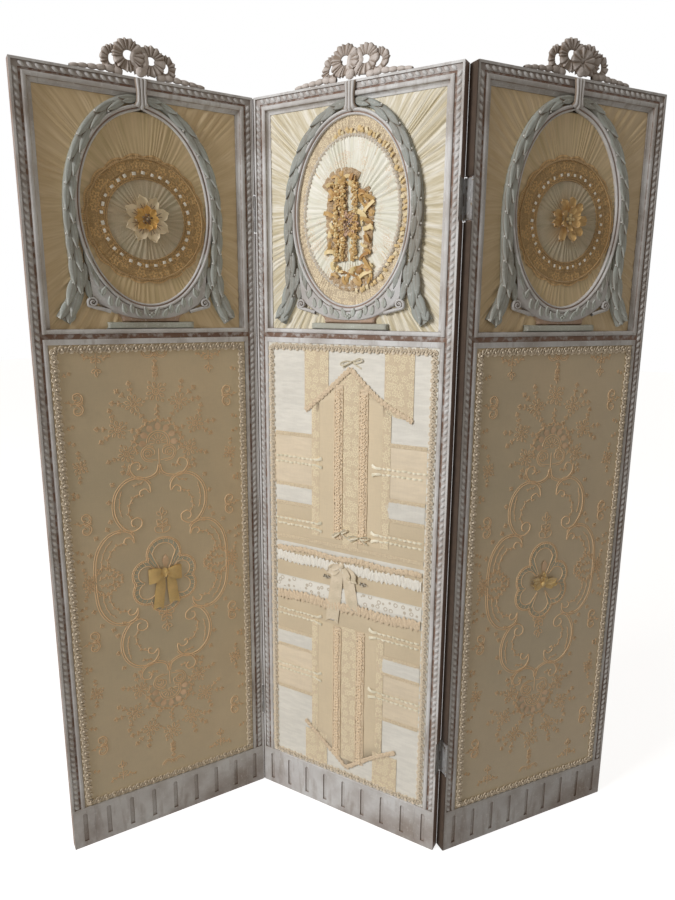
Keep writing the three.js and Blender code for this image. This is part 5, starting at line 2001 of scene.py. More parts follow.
def fill_petals(leaf, shade):
    """Padded petals round the two shells, and one above the bow."""
    petals = fresh_mesh()
    for flip in (-1, 1):
        centre = (0, PANEL_MIDDLE + flip * (SHELL[1] - PANEL_MIDDLE))
        for index in range(7):
            turn = flip * radians(-2 + index * 184 / 6)
            petal(petals, around(centre, 27, turn), turn, 18, 14, CORD_DEPTH, 1.6, 0.0, blunt=0.9)
    petal(petals, (3, 650), pi / 2, 30, 15, CORD_DEPTH, 1.8, 0.0, blunt=0.8)
    new_piece(
        f"{leaf}_filled_petals", petals, leaf,
        [plain_cloth(f"{leaf} peach petals", tinted("petal", shade), 0.5, 0.3)], weld=0,
    )


def cutwork_satin(name, leaf, base):
    """Satin with soft stains and a paler worn bloom in broad patches."""
    made, shader, surface = start_material(name)
    place = leaf_place(shader, leaf)
    weave = shader.group("Woven threads", {"Vector": place, "Threads": 2200.0, "Colour": base})
    bloom = shader.remap(shader.noise(place, 3.2, 2.0), 0.38, 0.66)
    shade = shader.mix(bloom, (0.93, 0.95, 0.93, 1), (1.02, 1.0, 0.95, 1))
    stains = shader.times(shader.remap(shader.noise(place, 24.0, 5.0), 0.6, 0.78), 0.22)
    aged = shader.mix(stains, shader.mix(1.0, weave["Colour"], shade, "MULTIPLY"), (0.45, 0.36, 0.22, 1))
    finish_material(
        shader, surface, 0.42, aged, weave["Height"], 0.16, 0.0003, Sheen_Weight=0.3,
    )
    return made


# Looped braid
BRAID_STEP = 1.8


def dress_gimp(leaf):
    """Two strands that cross between large and small eyes round the panel, with balls in the large ones."""
    bm = fresh_mesh()
    pitch = sizes().gimp_pitch / MM
    corner = 7.0
    half, low, high = GIMP_MIDDLE_X, GIMP_LOW, GIMP_HIGH
    corners = []
    for x, z, start in ((half, high, 0), (-half, high, 90), (-half, low, 180), (half, low, 270)):
        inside = (x - copysign(corner, x), z - corner if z > PANEL_MIDDLE else z + corner)
        for step in range(4):
            corners.append(around(inside, corner, radians(start + step * 30)))
    sides = []
    for index in range(16):
        first, second = corners[index], corners[(index + 1) % 16]
        sides.append(first)
        if index % 4 == 3:
            sides += [(first[0] + (second[0] - first[0]) * s / 30, first[1] + (second[1] - first[1]) * s / 30)
                      for s in range(1, 30)]
    path = smooth_path(sides, BRAID_STEP, loop=True)
    eyes = round(len(path) * BRAID_STEP / pitch)
    large = 0.62
    for way in (-1, 1):
        for offset in (-1.9, 0.0, 1.9):

            def section(u, v, way=way, offset=offset):
                share = eyes * v % 1.0
                eye = share / large if share < large else (share - large) / (1 - large)
                reach = 5.6 if share < large else -3.4
                swing = way * reach * sin(pi * eye) ** 0.6
                over = -1.0 * way * cos(pi * eye) * (1 if share < large else -1)
                turn = tau * u
                # Painted shade: the back of each strand is marked in the hollow values.
                dark = 0.9 if sin(turn) > 0.3 else 0.0
                return swing + offset + 1.3 * cos(turn), -11.2 + over + 1.3 * sin(turn), dark

            sweep(bm, path, 4, section, loop=True)
    for index in range(eyes):
        spot = path[round((index + large / 2) / eyes * len(path)) % len(path)]
        bead(bm, spot.x, -12.4, spot.y, 2.9, 0.8)
    base = tinted("gimp", {"left": 1.08, "centre": 1.0, "right": 1.08}[leaf])
    made = new_piece(
        f"{leaf}_looped_braid", bm, leaf,
        [twisted_cord(f"{leaf} braid cord", base, tinted("tan", 0.42), 1100.0, 0.12)], weld=0.01, closed=True,
    )
    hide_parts(f"{leaf}_gimp_braid")


# Centre panel of strips
PANEL_STEP = 0.45
BAND_HALF_WIDTH = 192.0
# Middle line of the centre panel's two arrow points, and how fast their edges fall and rise
ARCH_MIDDLE = 7.5
ARCH_FALL = 0.885
FOOT_RISE = 0.78


def arch(x, top):
    return top - ARCH_FALL * abs(x - ARCH_MIDDLE)


def arch_foot(x, low):
    return low + FOOT_RISE * abs(x - ARCH_MIDDLE)


def side_span(side, near):
    """From a distance beside the middle out to the end of the bands, on one side."""
    return sorted((side * near, side * BAND_HALF_WIDTH))


def cloth_patch(bm, corners, layer, across=14, along=20, puckers=0.0, seed=0.0, material=0, pucker_pitch=9.0):
    """A patch between four corners (lower left, lower right, upper right, upper left)."""
    low_left, low_right, up_right, up_left = [Vector(corner) for corner in corners]
    depth = PANEL_FACE - PANEL_STEP * layer

    def place(u, v):
        spot = low_left.lerp(low_right, u).lerp(up_left.lerp(up_right, u), v)
        wave = puckers * sin(tau * spot.x / pucker_pitch + 4 * soft(spot.x * 0.03, spot.y * 0.05, seed))
        slack = 0.3 * soft(spot.x * 0.03, spot.y * 0.03, 2.0)
        rim = 0.35 if 0 < u < 1 and 0 < v < 1 else 0.0
        return Vector((spot.x, depth - abs(wave) - slack - rim, spot.y))

    shaped_grid(bm, across, along, place, material)


def band(bm, z_low, z_high, layer, x_low=-BAND_HALF_WIDTH, x_high=BAND_HALF_WIDTH, **options):
    cloth_patch(bm, [(x_low, z_low), (x_high, z_low), (x_high, z_high), (x_low, z_high)], layer, **options)


def cloth_piece(name, bm, material):
    """A sewn piece of the centre panel."""
    made = new_piece(name, bm, "centre", [material])


def dress_patchwork():
    """Ground cloth of the centre panel and the strips sewn over it."""
    ground = fresh_mesh()
    band(
        ground, PANEL_LOW, PANEL_HIGH, 0, -PANEL_HALF_WIDTH, PANEL_HALF_WIDTH, across=60, along=140, seed=2.0,
    )
    made = new_piece(
        "centre_white_ground", ground, "centre",
        [woven_cloth("white ground silk", "centre", colour("white"), 0.5, 0.3, 1700.0, creases=1.0)],
    )
    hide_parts("centre_cloth_panel")
    lay_olive_bands()
    lay_arched_field()
    lay_peach_bands()
    lay_white_ruffles()
    dress_lace_strips()
    dress_threaded_braids()
    dress_frills()
    dress_small_bows()


def lay_olive_bands():
    olive = fresh_mesh()
    for low, high, seed in ((683, 745, 1.0), (596, 668, 4.0), (456, 540, 5.0)):
        band(olive, low, high, 1, across=40, along=8, seed=seed)
    for side in (-1, 1):
        for low, high in ((744, 776), (452, 498)):
            band(olive, low, high, 1, *side_span(side, 92), across=12, along=5, seed=7.0)
    cloth = woven_cloth("olive cloth", "centre", colour("olive"), 0.65, 0.15, 1500.0)
    cloth_piece("centre_olive_bands", olive, cloth)


def lay_arched_field():
    """The plain field, pointed at its top and its foot."""
    field = fresh_mesh()
    band(field, 712, 1052, 2, -92, 108, across=20, along=32, seed=8.0)
    band(field, 200, 500, 2, -92, 102, across=20, along=32, seed=9.0)
    for vert in field.verts:
        if vert.co.z > 1040:
            vert.co.z = arch(vert.co.x, 1106.5)
        if vert.co.z < 215:
            vert.co.z = arch_foot(vert.co.x, 124)
    cloth = woven_cloth("arched field cloth", "centre", tinted("olive", 1.09), 0.6, 0.2)
    cloth_piece("centre_arched_field", field, cloth)


def lay_peach_bands():
    peach = fresh_mesh()
    for side in (-1, 1):
        x_low, x_high = side_span(side, 86)
        x_low += 14 if side > 0 else -6
        for low, high in ((830, 949), (295, 408)):
            band(peach, low, high, 1, x_low, x_high, across=16, along=14, puckers=0.25, seed=side * 3.0)
    cloth = woven_cloth("peach silk", "centre", colour("peach"), 0.5, 0.35, 1600.0, creases=0.8)
    cloth_piece("centre_peach_bands", peach, cloth)


def lay_white_ruffles():
    ruffled = fresh_mesh()
    for side in (-1, 1):
        for low, high in ((786, 828), (412, 452)):
            band(
                ruffled, low, high, 2, *side_span(side, 92), across=60, along=6, puckers=0.7, seed=side * 5.0,
                pucker_pitch=7.0,
            )
    cloth = woven_cloth("ruffled white silk", "centre", tinted("white", 0.97), 0.5, 0.35, creases=1.0)
    cloth_piece("centre_white_ruffles", ruffled, cloth)


def dress_lace_strips():
    """Strips of tan lace that run up the panel and along its bands."""
    lace = fresh_mesh()
    for x_low, x_high, low, high in (
        (-111, -48, 1008, 1152), (90, 158, 1008, 1152), (-111, -48, 104, 200), (78, 142, 104, 200),
        (-9, 30, 700, 1096), (-9, 30, 150, 500),
    ):
        band(lace, low, high, 3, x_low, x_high, across=6, along=26, seed=x_low)
    for x_low, x_high, low, high in (
        (-92, -72, 714, 1018), (88, 108, 714, 1018), (-92, -74, 214, 500), (84, 102, 214, 500),
    ):
        band(
            lace, low, high, 3, x_low, x_high, across=4, along=40, puckers=0.25, seed=x_low, pucker_pitch=6.0,
        )
    for vert in lace.verts:
        trim_to_arch(vert.co)
    cloth_piece(
        "centre_tan_lace", lace, lace_cloth(
            "tan lace", "centre", tinted("tan", 1.28), tinted("tan", 0.96), 55.0,
        ),
    )
    narrow = fresh_mesh()
    for z in (949, 827, 781, 742, 697, 500, 452, 410, 295):
        spans = [side_span(side, 88) for side in (-1, 1)] if z != 697 else [(-192, 192)]
        for span in spans:
            band(
                narrow, z - 4.5, z + 4.5, 3, *span, across=50, along=3, puckers=0.35, seed=z,
                pucker_pitch=5.0,
            )
    edging = lace_cloth("narrow lace", "centre", tinted("tan", 1.25), tinted("tan", 0.9), 160.0)
    cloth_piece("centre_narrow_lace", narrow, edging)
    eyelet = fresh_mesh()
    band(eyelet, 566, 594, 3.6, across=60, along=4, puckers=0.2, seed=21.0)
    cloth_piece("centre_eyelet_band", eyelet, eyelet_cloth("eyelet cloth", "centre"))


def trim_to_arch(spot):
    """Moves a point of the upright lace strips to the arch or its foot where it would pass them."""
    peak = arch(spot.x, 1104)
    foot = arch_foot(spot.x, 126)
    if 1000 < spot.z < 1100 and -46 < spot.x < 88:
        spot.z = min(spot.z, peak)
    if 1000 < spot.z < 1080 and not -46 < spot.x < 88:
        spot.z = max(spot.z, peak)
    if 140 < spot.z < 250 and not -40 < spot.x < 60:
        spot.z = min(spot.z, foot) if abs(spot.x - ARCH_MIDDLE) > 85 else max(spot.z, foot)
    if spot.z < 200 and -20 < spot.x < 40:
        spot.z = max(spot.z, foot)


def eyelet_cloth(name, leaf):
    """White cloth with grey embroidered dots."""
    made, shader, surface = start_material(name)
    place = leaf_place(shader, leaf)
    weave = shader.group(
        "Woven threads", {"Vector": place, "Threads": 1500.0, "Colour": tinted("white", 1.04)},
    )
    dots = shader.add("TexVoronoi", {"Vector": place, "Scale": 62.0, "Randomness": 0.7}).outputs["Distance"]
    ring = shader.remap(shader.math("ABSOLUTE", shader.minus(dots, 0.26)), 0.1, 0.03)
    finish_material(
        shader, surface, 0.6, shader.mix(shader.times(ring, 0.6), weave["Colour"], rgb(170, 150, 118)),
        ring, 0.5, 0.0006, Sheen_Weight=0.2,
    )
    return made


def dress_threaded_braids():
    """Upright puckered braids with thread looped over them, and the paired ribbons across the bands."""
    draw = random.Random(5)
    sew_upright_braids(draw)
    thread_paired_ribbons(draw)


def sew_upright_braids(draw):
    puffs = fresh_mesh()
    loops = fresh_mesh()
    for middle in (-21, 42):
        for low, high in ((714, 1078), (150, 498)):
            top = min(high, arch(middle, 1096))
            ruche(puffs, [(middle, low), (middle, top)], 19.0, PANEL_FACE - 1.5, 8.0, 2.2, middle + low)
            for swing in (-6.0, 6.0):
                line = []
                for step in range(int((top - low) / 7.5)):
                    side = swing if step % 2 else -swing
                    line.append((middle + side * draw.uniform(0.5, 1.2), low + 7.5 * step))
                cord(loops, smooth_path(line, 2.6), 1.35, PANEL_FACE - 3.6, sides=4)
            for edge in (-10.0, 10.0):
                line = []
                for step in range(17):
                    line.append((middle + edge + draw.uniform(-0.8, 0.8), low + (top - low) * step / 16))
                cord(loops, smooth_path(line, 8), 1.2, PANEL_FACE - 2.4, sides=4)
    made = new_piece(
        "centre_puckered_braids", puffs, "centre",
        [ruched_cloth("puckered braid lace", tinted("tan", 1.0), tinted("tan", 0.3))],
    )
    new_piece(
        "centre_upright_braids", loops, "centre",
        [twisted_cord("pale braid thread", tinted("tan", 1.18), tinted("tan", 0.5), 120.0, 0.2)], closed=True,
    )


def thread_paired_ribbons(draw):
    """Pairs of narrow ribbon in short stitches, each ending in a small fan."""
    ribbons = fresh_mesh()
    for z_middle in (889, 736, 502, 352):
        for side in (-1, 1):
            for offset in (-6.5, 6.5):
                x = 78 if z_middle in (889, 352) else 84
                while x < 186:
                    long = draw.uniform(9, 13)
                    z = z_middle + offset + draw.uniform(-0.6, 0.6)
                    lean = draw.uniform(-0.1, 0.1)

                    def place(u, v):
                        run = side * (x + u * long) if side > 0 else side * (x + (1 - u) * long)
                        bump = 2.2 * sin(pi * u)
                        wide = 3.4 + 1.6 * sin(pi * u)
                        return Vector((run, PANEL_FACE - 1.7 - bump, z + (v - 0.5) * wide + lean * u * long))

                    shaped_grid(ribbons, 6, 2, place)
                    x += long + draw.uniform(0.3, 1.2)
                for fan in (0.0, 0.5):
                    points = [
                        (side * 84, PANEL_FACE - 2.4, z_middle + offset),
                        (side * 74, PANEL_FACE - 5.4, z_middle + offset * 1.1),
                        (side * 64, PANEL_FACE - 2.6, z_middle + offset * (1.4 + fan)),
                    ]
                    ribbon_strip(ribbons, points, 6.0, tilt=0.25)
    new_piece(
        "centre_threaded_ribbon", ribbons, "centre",
        [plain_cloth("cream threaded ribbon", rgb(255, 247, 222), 0.4, 0.5)], weld=0,
    )


def ruche(bm, points, width, depth, pitch, lift=2.4, layer=0):
    """A puckered strip along a line, with uneven puffs and painted shade in its creases."""
    line = smooth_path(points, 1.2)
    total = len(line) * 1.2

    def section(u, v):
        run = v * total
        across = 2 * u - 1
        turn = tau * run / pitch + 4.5 * soft(run * 0.07, across * 0.7, layer)
        puff = 0.62 * abs(sin(turn / 2 + across)) + 0.55 * abs(soft(run * 0.24, across * 1.3, layer + 5.0))
        puff = min(1.0, puff + 0.18)
        ragged = 1 + 0.2 * sin(turn * 0.8 + (2.0 if across > 0 else 0.0))
        ragged += 0.35 * soft(run * 0.22, across * 3, layer)
        rise = lift * (0.15 + 0.85 * puff) * (1 - 0.45 * across ** 4)
        # The third value paints shade in the creases between the puffs.
        return across * width / 2 * ragged, depth - rise, max(0.0, 1.0 - 2.1 * puff)

    sweep(bm, line, 8, section)


def dress_frills():
    """Ruched trims on the arches and across the panel, and the gathered white frill."""
    tan = fresh_mesh()
    depth = PANEL_FACE - 1.5
    for line in (
        [(7.5, 1107), (-52, 1054), (-108, 1008)], [(7.5, 1107), (80, 1044), (158, 1004)],
        [(7.5, 129), (-52, 175), (-111, 221)], [(7.5, 129), (70, 177), (138, 218)],
    ):
        ruche(tan, line, 11.0, depth, 9.0, 3.2)
    ruche(
        tan, [(x, 668.5 + 2.2 * sin(x * 0.045)) for x in range(-190, 191, 19)], 13.0, depth, 11.0, 3.6,
        layer=3,
    )
    ruche(
        tan, [(x, 549.0 + 2.2 * sin(x * 0.045)) for x in range(-190, 191, 19)], 23.0, depth, 9.5, 3.4,
        layer=7,
    )
    made = new_piece(
        "centre_ruched_trim", tan, "centre",
        [ruched_cloth("ruched tan silk", tinted("tan", 0.96), tinted("tan", 0.34))],
    )
    white = fresh_mesh()
    ruche(white, [(x, 646.0 + 1.6 * sin(x * 0.06)) for x in range(-190, 191, 19)], 24.0, depth, 9.0, 2.4, 4)
    frill = new_piece(
        "centre_white_frill", white, "centre",
        [ruched_cloth("white frill lace", tinted("white", 1.05), tinted("tan", 0.7), 0.7)],
    )


def small_bow(bm, x, z, size, depth, angle=0.0):
    """A thin ribbon bow: two loops, two ends and a knot."""
    for way in (-1, 1):
        turn = angle if way > 0 else pi + angle
        loop = [
            (x, depth - 2, z), (x + size * cos(turn + 0.25), depth - 5, z + size * sin(turn + 0.25)),
            (x + size * 1.05 * cos(turn), depth - 3.5, z + size * 1.05 * sin(turn)),
            (x + size * 0.5 * cos(turn - 0.25), depth - 1.5, z + size * 0.5 * sin(turn - 0.25)),
            (x, depth - 2, z),
        ]
        ribbon_strip(bm, loop, 3.6, tilt=0.5)
        end = [
            (x, depth - 1, z), (x + way * size * 0.5, depth - 1.2, z - size * 0.3),
            (x + way * size * 0.95, depth - 0.8, z - size * 0.55),
        ]
        ribbon_strip(bm, end, 3.6, tilt=0.2)
    bead(bm, x, depth - 4, z, 2.8, 0.8)


def dress_small_bows():
    """Narrow ribbon bows at the top and under the arched field, and beaded sprigs."""
    bm = fresh_mesh()
    small_bow(bm, 10.7, 1122, 24, PANEL_FACE - 1.2, 0.12)
    small_bow(bm, -14, 732, 19, PANEL_FACE - 3.8, 0.4)
    small_bow(bm, 34, 728, 24, PANEL_FACE - 3.8, 0.05)
    new_piece(
        "centre_small_bows", bm, "centre",
        [plain_cloth("pale grey ribbon", rgb(226, 216, 190), 0.45, 0.4)], weld=0,
    )
    sprigs = fresh_mesh()
    for x in (-50, 47):
        for index in range(16):
            angle = index * 2.4
            bead(
                sprigs, x + 11 * cos(angle) * sqrt(index / 16), PANEL_FACE - 3.2,
                618 + 4.5 * sin(angle) * sqrt(index / 16), 1.7, 1.0, material=index % 2,
            )
    new_piece(
        "centre_beaded_sprigs", sprigs, "centre",
        [
            plain_cloth("grey beads", rgb(150, 140, 124), 0.4, 0.2),
            plain_cloth("white beads", rgb(236, 230, 216), 0.4, 0.2),
        ],
        weld=0,
    )


# Large ribbon bows
def swallow_tail(bm, top, foot, width, depth, sway, material=0):
    """A ribbon end cut to a notch."""
    start, end = Vector(top), Vector(foot)

    def place(u, v):
        across = 2 * u - 1
        notch = 0.055 * (1 - abs(across)) * (1 if v == 0 else 0) * (start - end).length * 1.6
        spot = end.lerp(start, v) + Vector((0, notch))
        half = width / 2 * (1 - 0.45 * v ** 6)
        curl = sway * sin(v * 7 + across * 0.6)
        return Vector((spot.x + half * across, depth - 1.2 - abs(curl) - 0.8 * (1 - across * across), spot.y))

    shaped_grid(bm, 8, 24, place, material)


def flat_loop(bm, x, z, reach, height, depth, lift, material=0):
    """A loop of wide ribbon that stands out beside the knot, its back half flat and its front half puffed."""
    for share in (0.25, 1.0):

        def place(u, v):
            out = abs(reach) * u
            puff = sin(pi * min(1.0, u * 0.93 + 0.02)) ** 0.6
            half = height / 2 * (0.38 + 0.62 * sin(min(1.0, u * 1.35) * pi / 2))
            y = depth - 1.0 - share * lift * puff
            y -= 0.9 * sin(v * 9 + u * 2) * (1 - u)
            return Vector((x + copysign(out, reach), y, z + (v - 0.5) * 2 * half - 0.12 * out))

        made = shaped_grid(bm, 10, 8, place, material)
        if (reach < 0) != (share < 1):
            turn_over(made)


def tie_left_bow():
    bm = fresh_mesh()
    depth = -10.3
    flat_loop(bm, -1, 636.5, -37, 36, depth, 4.4)
    flat_loop(bm, 3, 636.5, 36, 34, depth, 4.4)
    swallow_tail(bm, (-8, 630), (-19, 549), 24, depth, 0.8)
    swallow_tail(bm, (13, 630), (20, 557), 24, depth, 0.7)
    petal(bm, (-2, 650), -pi / 2, 26, 13, depth - 3.8, 1.6, 1.4)
    bead(bm, 3, depth - 2.6, 638, 7.4, 0.5, detail=2)
    bead(bm, 6, depth - 4.2, 632, 3.6, 0.6, detail=2)
    made = new_piece(
        "left_gold_bow", bm, "left",
        [plain_cloth("gold satin ribbon", rgb(228, 192, 120), 0.35, 0.5)], weld=0,
    )
    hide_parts("left_ribbon_bow")


def tie_centre_bow():
    """Sheer bow whose two loops droop beside the knot, with two long ends."""
    bm = fresh_mesh()
    depth = -10.4
    swallow_tail(bm, (-18, 652), (-36, 504), 34, depth, 1.1)
    swallow_tail(bm, (4, 650), (22, 544), 31, depth - 0.6, 0.9)
    for angle, long, wide, lift in (
        (-148, 46, 26, 3.2), (-158, 34, 15, 4.6), (-42, 54, 30, 3.4), (-52, 40, 17, 4.8),
    ):
        petal(bm, (-9, 653), radians(angle), long, wide, depth - 0.6, lift, 1.0, 0.4, blunt=1.1)
    bead(bm, -9, depth - 2.6, 652, 7.2, 0.45, detail=2)
    made = new_piece(
        "centre_long_bow", bm, "centre",
        [plain_cloth("grey cream ribbon", rgb(234, 219, 192), 0.4, 0.5)], weld=0,
    )
    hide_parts("centre_ribbon_bow")


def tie_right_bow():
    bm = fresh_mesh()
    draw = random.Random(41)
    depth = -10.3
    for angle, long, wide in (
        (155, 38, 17), (178, 36, 15), (200, 30, 13), (10, 40, 16), (-8, 44, 14), (-24, 32, 13), (60, 18, 12),
        (110, 20, 12),
    ):
        here = depth - draw.uniform(0.4, 1.6)
        petal(bm, (2, 623), radians(angle), long, wide, here, 2.2, 1.6, 0.9, blunt=0.75)
    petal(bm, (2, 612), pi / 2, 42, 16, depth, 1.8, 1.2, 0.4)
    bead(bm, 2, depth - 3.2, 623, 6.2, 0.55, detail=2)
    made = new_piece(
        "right_gold_knot", bm, "right",
        [plain_cloth("pale gold cloth", rgb(232, 200, 132), 0.4, 0.5)], weld=0,
    )
    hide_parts("right_ribbon_bow")


# Backs
LINING_LOW = 38.3
LINING_HIGH = 1641.7
LINING_HALF_WIDTH = 201.7
HEM_HALF_WIDTH = 6


def line_back(leaf):
    """Linen lining on the back of a leaf with a folded hem tacked down round it."""
    bm = fresh_mesh()
    low, high, half = LINING_LOW, LINING_HIGH, LINING_HALF_WIDTH

    def place(u, v):
        x = -(u - 0.5) * 2 * half
        z = low + (high - low) * v
        return Vector((x, 11.2 + 0.3 * soft(x * 0.01, z * 0.006, 4.0), z))

    shaped_grid(bm, 30, 100, place)
    lining = new_piece(
        f"{leaf}_linen_lining", bm, leaf,
        [woven_cloth(f"{leaf} linen", leaf, colour("lining"), 0.8, 0.1, 900.0, 0.4)],
    )
    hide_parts(f"{leaf}_back_lining")
    hem = fresh_mesh()
    sides = (-half + HEM_HALF_WIDTH, half - HEM_HALF_WIDTH)
    ends = (low + HEM_HALF_WIDTH, high - HEM_HALF_WIDTH)
    for z in ends:
        hem_strip(hem, 0, z, half, HEM_HALF_WIDTH)
    for x in sides:
        hem_strip(hem, x, (low + high) / 2, HEM_HALF_WIDTH, (high - low) / 2 - 12)
    new_piece(
        f"{leaf}_lining_hem", hem, leaf,
        [woven_cloth(f"{leaf} hem linen", leaf, tinted("lining", 0.88), 0.8, 0.1, 900.0, 0.4)],
    )
    tacks = fresh_mesh()
    for row in range(45):
        for x in sides:
            bead(tacks, x, 11.9, low + 6 + (high - low - 12) * row / 44, 2.6, 0.45)
    for column in range(1, 12):
        for z in ends:
            bead(tacks, -half + 6 + (2 * half - 12) * column / 12, 11.9, z, 2.6, 0.45)
    new_piece(f"{leaf}_lining_tacks", tacks, leaf, [tack_metal("dull brass")], weld=0)


def hem_strip(bm, x, z, half_wide, half_tall):
    def place(u, v):
        lift = 0.5 if 0.1 < v < 0.9 and 0.1 < u < 0.9 else 0.0
        return Vector((x - (u - 0.5) * 2 * half_wide, 11.3 + lift, z + (v - 0.5) * 2 * half_tall))

    shaped_grid(bm, 10, 10, place)


@once
def tack_metal(name):
    """Dull brass of the tacks."""
    made, shader, surface = start_material(name)
    place = shader.here()
    tarnish = shader.noise(place, 300.0, 3.0)
    surface.inputs["Metallic"].default_value = 1.0
    finish_material(
        shader, surface, shader.remap(tarnish, 0.3, 0.7, 0.35, 0.6),
        shader.mix(tarnish, rgb(150, 118, 66), rgb(92, 70, 42)), tarnish, 0.2, 0.0003,
    )
    return made


# Stage
CAMERA_PLACE = (0.716, -1.283, 1.235)
CAMERA_AHEAD = (-0.5026, 0.8645)
CAMERA_PITCH = radians(11.92)
CAMERA_ROLL = radians(0.40)
CAMERA_LENS = 26.83


def place_camera():
    data = bpy.data.cameras.new("camera")
    data.lens = CAMERA_LENS
    data.sensor_width = 36.0
    camera = bpy.data.objects.new("camera", data)
    bpy.context.scene.collection.objects.link(camera)
    ahead = Vector((
        CAMERA_AHEAD[0] * cos(CAMERA_PITCH), CAMERA_AHEAD[1] * cos(CAMERA_PITCH), -sin(CAMERA_PITCH),
    ))
    turn = ahead.to_track_quat("-Z", "Y").to_matrix().to_4x4() @ Matrix.Rotation(CAMERA_ROLL, 4, "Z")
    camera.matrix_world = Matrix.Translation(CAMERA_PLACE) @ turn
    bpy.context.scene.camera = camera


def seen_rays(shader):
    """1 for rays that should meet a white background."""
    path = shader.add("LightPath").outputs
    first = shader.most(path["Is Camera Ray"], path["Is Glossy Ray"])
    return shader.most(first, path["Is Transmission Ray"])


def lay_floor():
    bm = bmesh.new()
    bmesh.ops.create_grid(bm, x_segments=1, y_segments=1, size=14)
    mesh = bpy.data.meshes.new("floor")
    bm.to_mesh(mesh)
    bm.free()
    floor = bpy.data.objects.new("floor", mesh)
    bpy.context.scene.collection.objects.link(floor)
    made, shader, surface = start_material("pale floor")
    grain = shader.noise(shader.here(), 6.0, 3.0)
    base = shader.mix(grain, (0.5, 0.5, 0.5, 1), (0.54, 0.54, 0.54, 1))
    surface.inputs["Roughness"].default_value = 0.9
    surface.inputs["Specular IOR Level"].default_value = 0.1
    shader.link(base, surface.inputs["Base Color"])
    lift = shader.times(seen_rays(shader), 0.86)
    shader.link(
        shader.shade(lift), surface.inputs["Emission Color"]
    )
    surface.inputs["Emission Strength"].default_value = 1.0
    mesh.materials.append(made)


def light_scene():
    world = bpy.data.worlds.new("studio")
    world.use_nodes = True
    bpy.context.scene.world = world
    shader = Shader(world.node_tree)
    back = world.node_tree.nodes["Background"]
    shade = shader.mix(seen_rays(shader), (0.222, 0.193, 0.161, 1), (1, 1, 1, 1))
    shader.link(shade, back.inputs["Color"])
    back.inputs["Strength"].default_value = 1.0
    data = bpy.data.lights.new("key", "AREA")
    data.size = 1.5
    data.energy = 146
    data.color = (0.985, 0.985, 1.0)
    lamp = bpy.data.objects.new("key", data)
    bpy.context.scene.collection.objects.link(lamp)
    place = Vector((-1.95, -3.95, 2.8))
    way = Vector((0.0, 0.0, 1.0)) - place
    lamp.matrix_world = Matrix.Translation(place) @ way.to_track_quat("-Z", "Y").to_matrix().to_4x4()
    bpy.context.scene.view_settings.view_transform = "Standard"


# Operators
class Step:
    """What all the operators share: jobs for each of some leaves, and then jobs that are done once."""

    leaves = tuple(LEAVES)
    leaf_jobs = ()
    jobs = ()

    def execute(self, context):
        for leaf in self.leaves:
            for job in self.leaf_jobs:
                job(leaf)
        for job in self.jobs:
            job()
        return {"FINISHED"}


class SCREEN_OT_stage(Step, bpy.types.Operator):
    """Camera, floor and soft studio light"""

    bl_idname = "screen.stage"
    bl_label = "Stage"
    jobs = (place_camera, lay_floor, light_scene)


class SCREEN_OT_shader_groups(Step, bpy.types.Operator):
    """Shared effects: worn paint, woven threads, lace and gathers"""

    bl_idname = "screen.shader_groups"
    bl_label = "Shared finishes"
    jobs = (make_worn_paint_group, make_weave_group, make_lace_group, make_gather_group)


class SCREEN_OT_frames(Step, bpy.types.Operator):
    """Paint on the frames and hinges, the carved channels and the dark strips of painted shade in the joints
    """

    bl_idname = "screen.frames"
    bl_label = "Frames"
    jobs = (paint_frames, carve_channels, close_joints)


class SCREEN_OT_ovals(Step, bpy.types.Operator):
    """Carved ovals with garlands, bands, supports and straps"""

    bl_idname = "screen.ovals"
    bl_label = "Carved ovals"
    leaf_jobs = (carve_moulding, carve_garlands, carve_band, carve_tufts, carve_support, carve_strap)


class SCREEN_OT_crests(Step, bpy.types.Operator):
    """Carved ribbon bows on the top rails"""

    bl_idname = "screen.crests"
    bl_label = "Crests"
    leaf_jobs = (carve_crest,)


class SCREEN_OT_silk(Step, bpy.types.Operator):
    """Silk gathered round the ovals"""

    bl_idname = "screen.silk"
    bl_label = "Gathered silk"
    leaf_jobs = (gather_silk,)


class SCREEN_OT_medallions(Step, bpy.types.Operator):
    """Lace, net, flowers and wreath inside the ovals"""

    bl_idname = "screen.medallions"
    bl_label = "Medallions"
    leaves = OUTER_LEAVES
    leaf_jobs = (dress_round_medallion,)
    jobs = (dress_cream_flower, dress_gold_flower, dress_oval_medallion, dress_wreath)


class SCREEN_OT_satin(Step, bpy.types.Operator):
    """Satin panels with corded scrollwork"""

    bl_idname = "screen.satin"
    bl_label = "Satin panels"
    leaves = OUTER_LEAVES
    leaf_jobs = (dress_satin,)


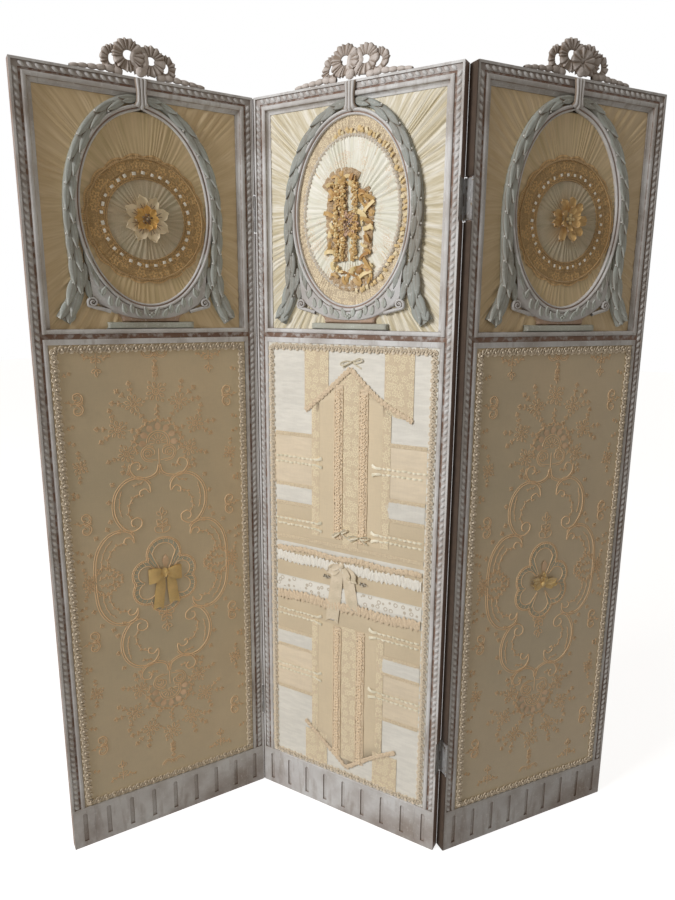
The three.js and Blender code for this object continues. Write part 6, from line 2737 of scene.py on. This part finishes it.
class SCREEN_OT_patchwork(Step, bpy.types.Operator):
    """Centre panel of silk, lace and ribbon"""

    bl_idname = "screen.patchwork"
    bl_label = "Centre panel"
    jobs = (dress_patchwork,)


class SCREEN_OT_braid(Step, bpy.types.Operator):
    """Looped braid round the panels"""

    bl_idname = "screen.braid"
    bl_label = "Looped braid"
    leaf_jobs = (dress_gimp,)


class SCREEN_OT_bows(Step, bpy.types.Operator):
    """Ribbon bows at the middle of the panels"""

    bl_idname = "screen.bows"
    bl_label = "Ribbon bows"
    jobs = (tie_left_bow, tie_centre_bow, tie_right_bow)


class SCREEN_OT_backs(Step, bpy.types.Operator):
    """Linen linings, hems and tacks"""

    bl_idname = "screen.backs"
    bl_label = "Backs"
    leaf_jobs = (line_back,)


STEPS = (
    SCREEN_OT_stage, SCREEN_OT_shader_groups, SCREEN_OT_frames, SCREEN_OT_ovals, SCREEN_OT_crests,
    SCREEN_OT_silk, SCREEN_OT_medallions, SCREEN_OT_satin, SCREEN_OT_patchwork, SCREEN_OT_braid,
    SCREEN_OT_bows, SCREEN_OT_backs,
)


class SCREEN_PT_panel(bpy.types.Panel):
    """Steps and values of the folding screen"""

    bl_idname = "SCREEN_PT_panel"
    bl_label = "Folding screen"
    bl_space_type = "VIEW_3D"
    bl_region_type = "UI"
    bl_category = "Screen"

    def draw(self, context):
        for step in STEPS:
            self.layout.operator(step.bl_idname)
        for group in (context.scene.screen_sizes, context.scene.screen_colours):
            for name in group.__annotations__:
                self.layout.prop(group, name)


CLASSES = (ScreenSizes, ScreenColours, *STEPS, SCREEN_PT_panel)


def register():
    for kind in CLASSES:
        bpy.utils.register_class(kind)
    bpy.types.Scene.screen_sizes = PointerProperty(type=ScreenSizes)
    bpy.types.Scene.screen_colours = PointerProperty(type=ScreenColours)


def unregister():
    del bpy.types.Scene.screen_colours
    del bpy.types.Scene.screen_sizes
    for kind in reversed(CLASSES):
        bpy.utils.unregister_class(kind)


def main():
    register()
    for step in STEPS:
        section, name = step.bl_idname.split(".")
        getattr(getattr(bpy.ops, section), name)()


if __name__ == "__main__":
    main()
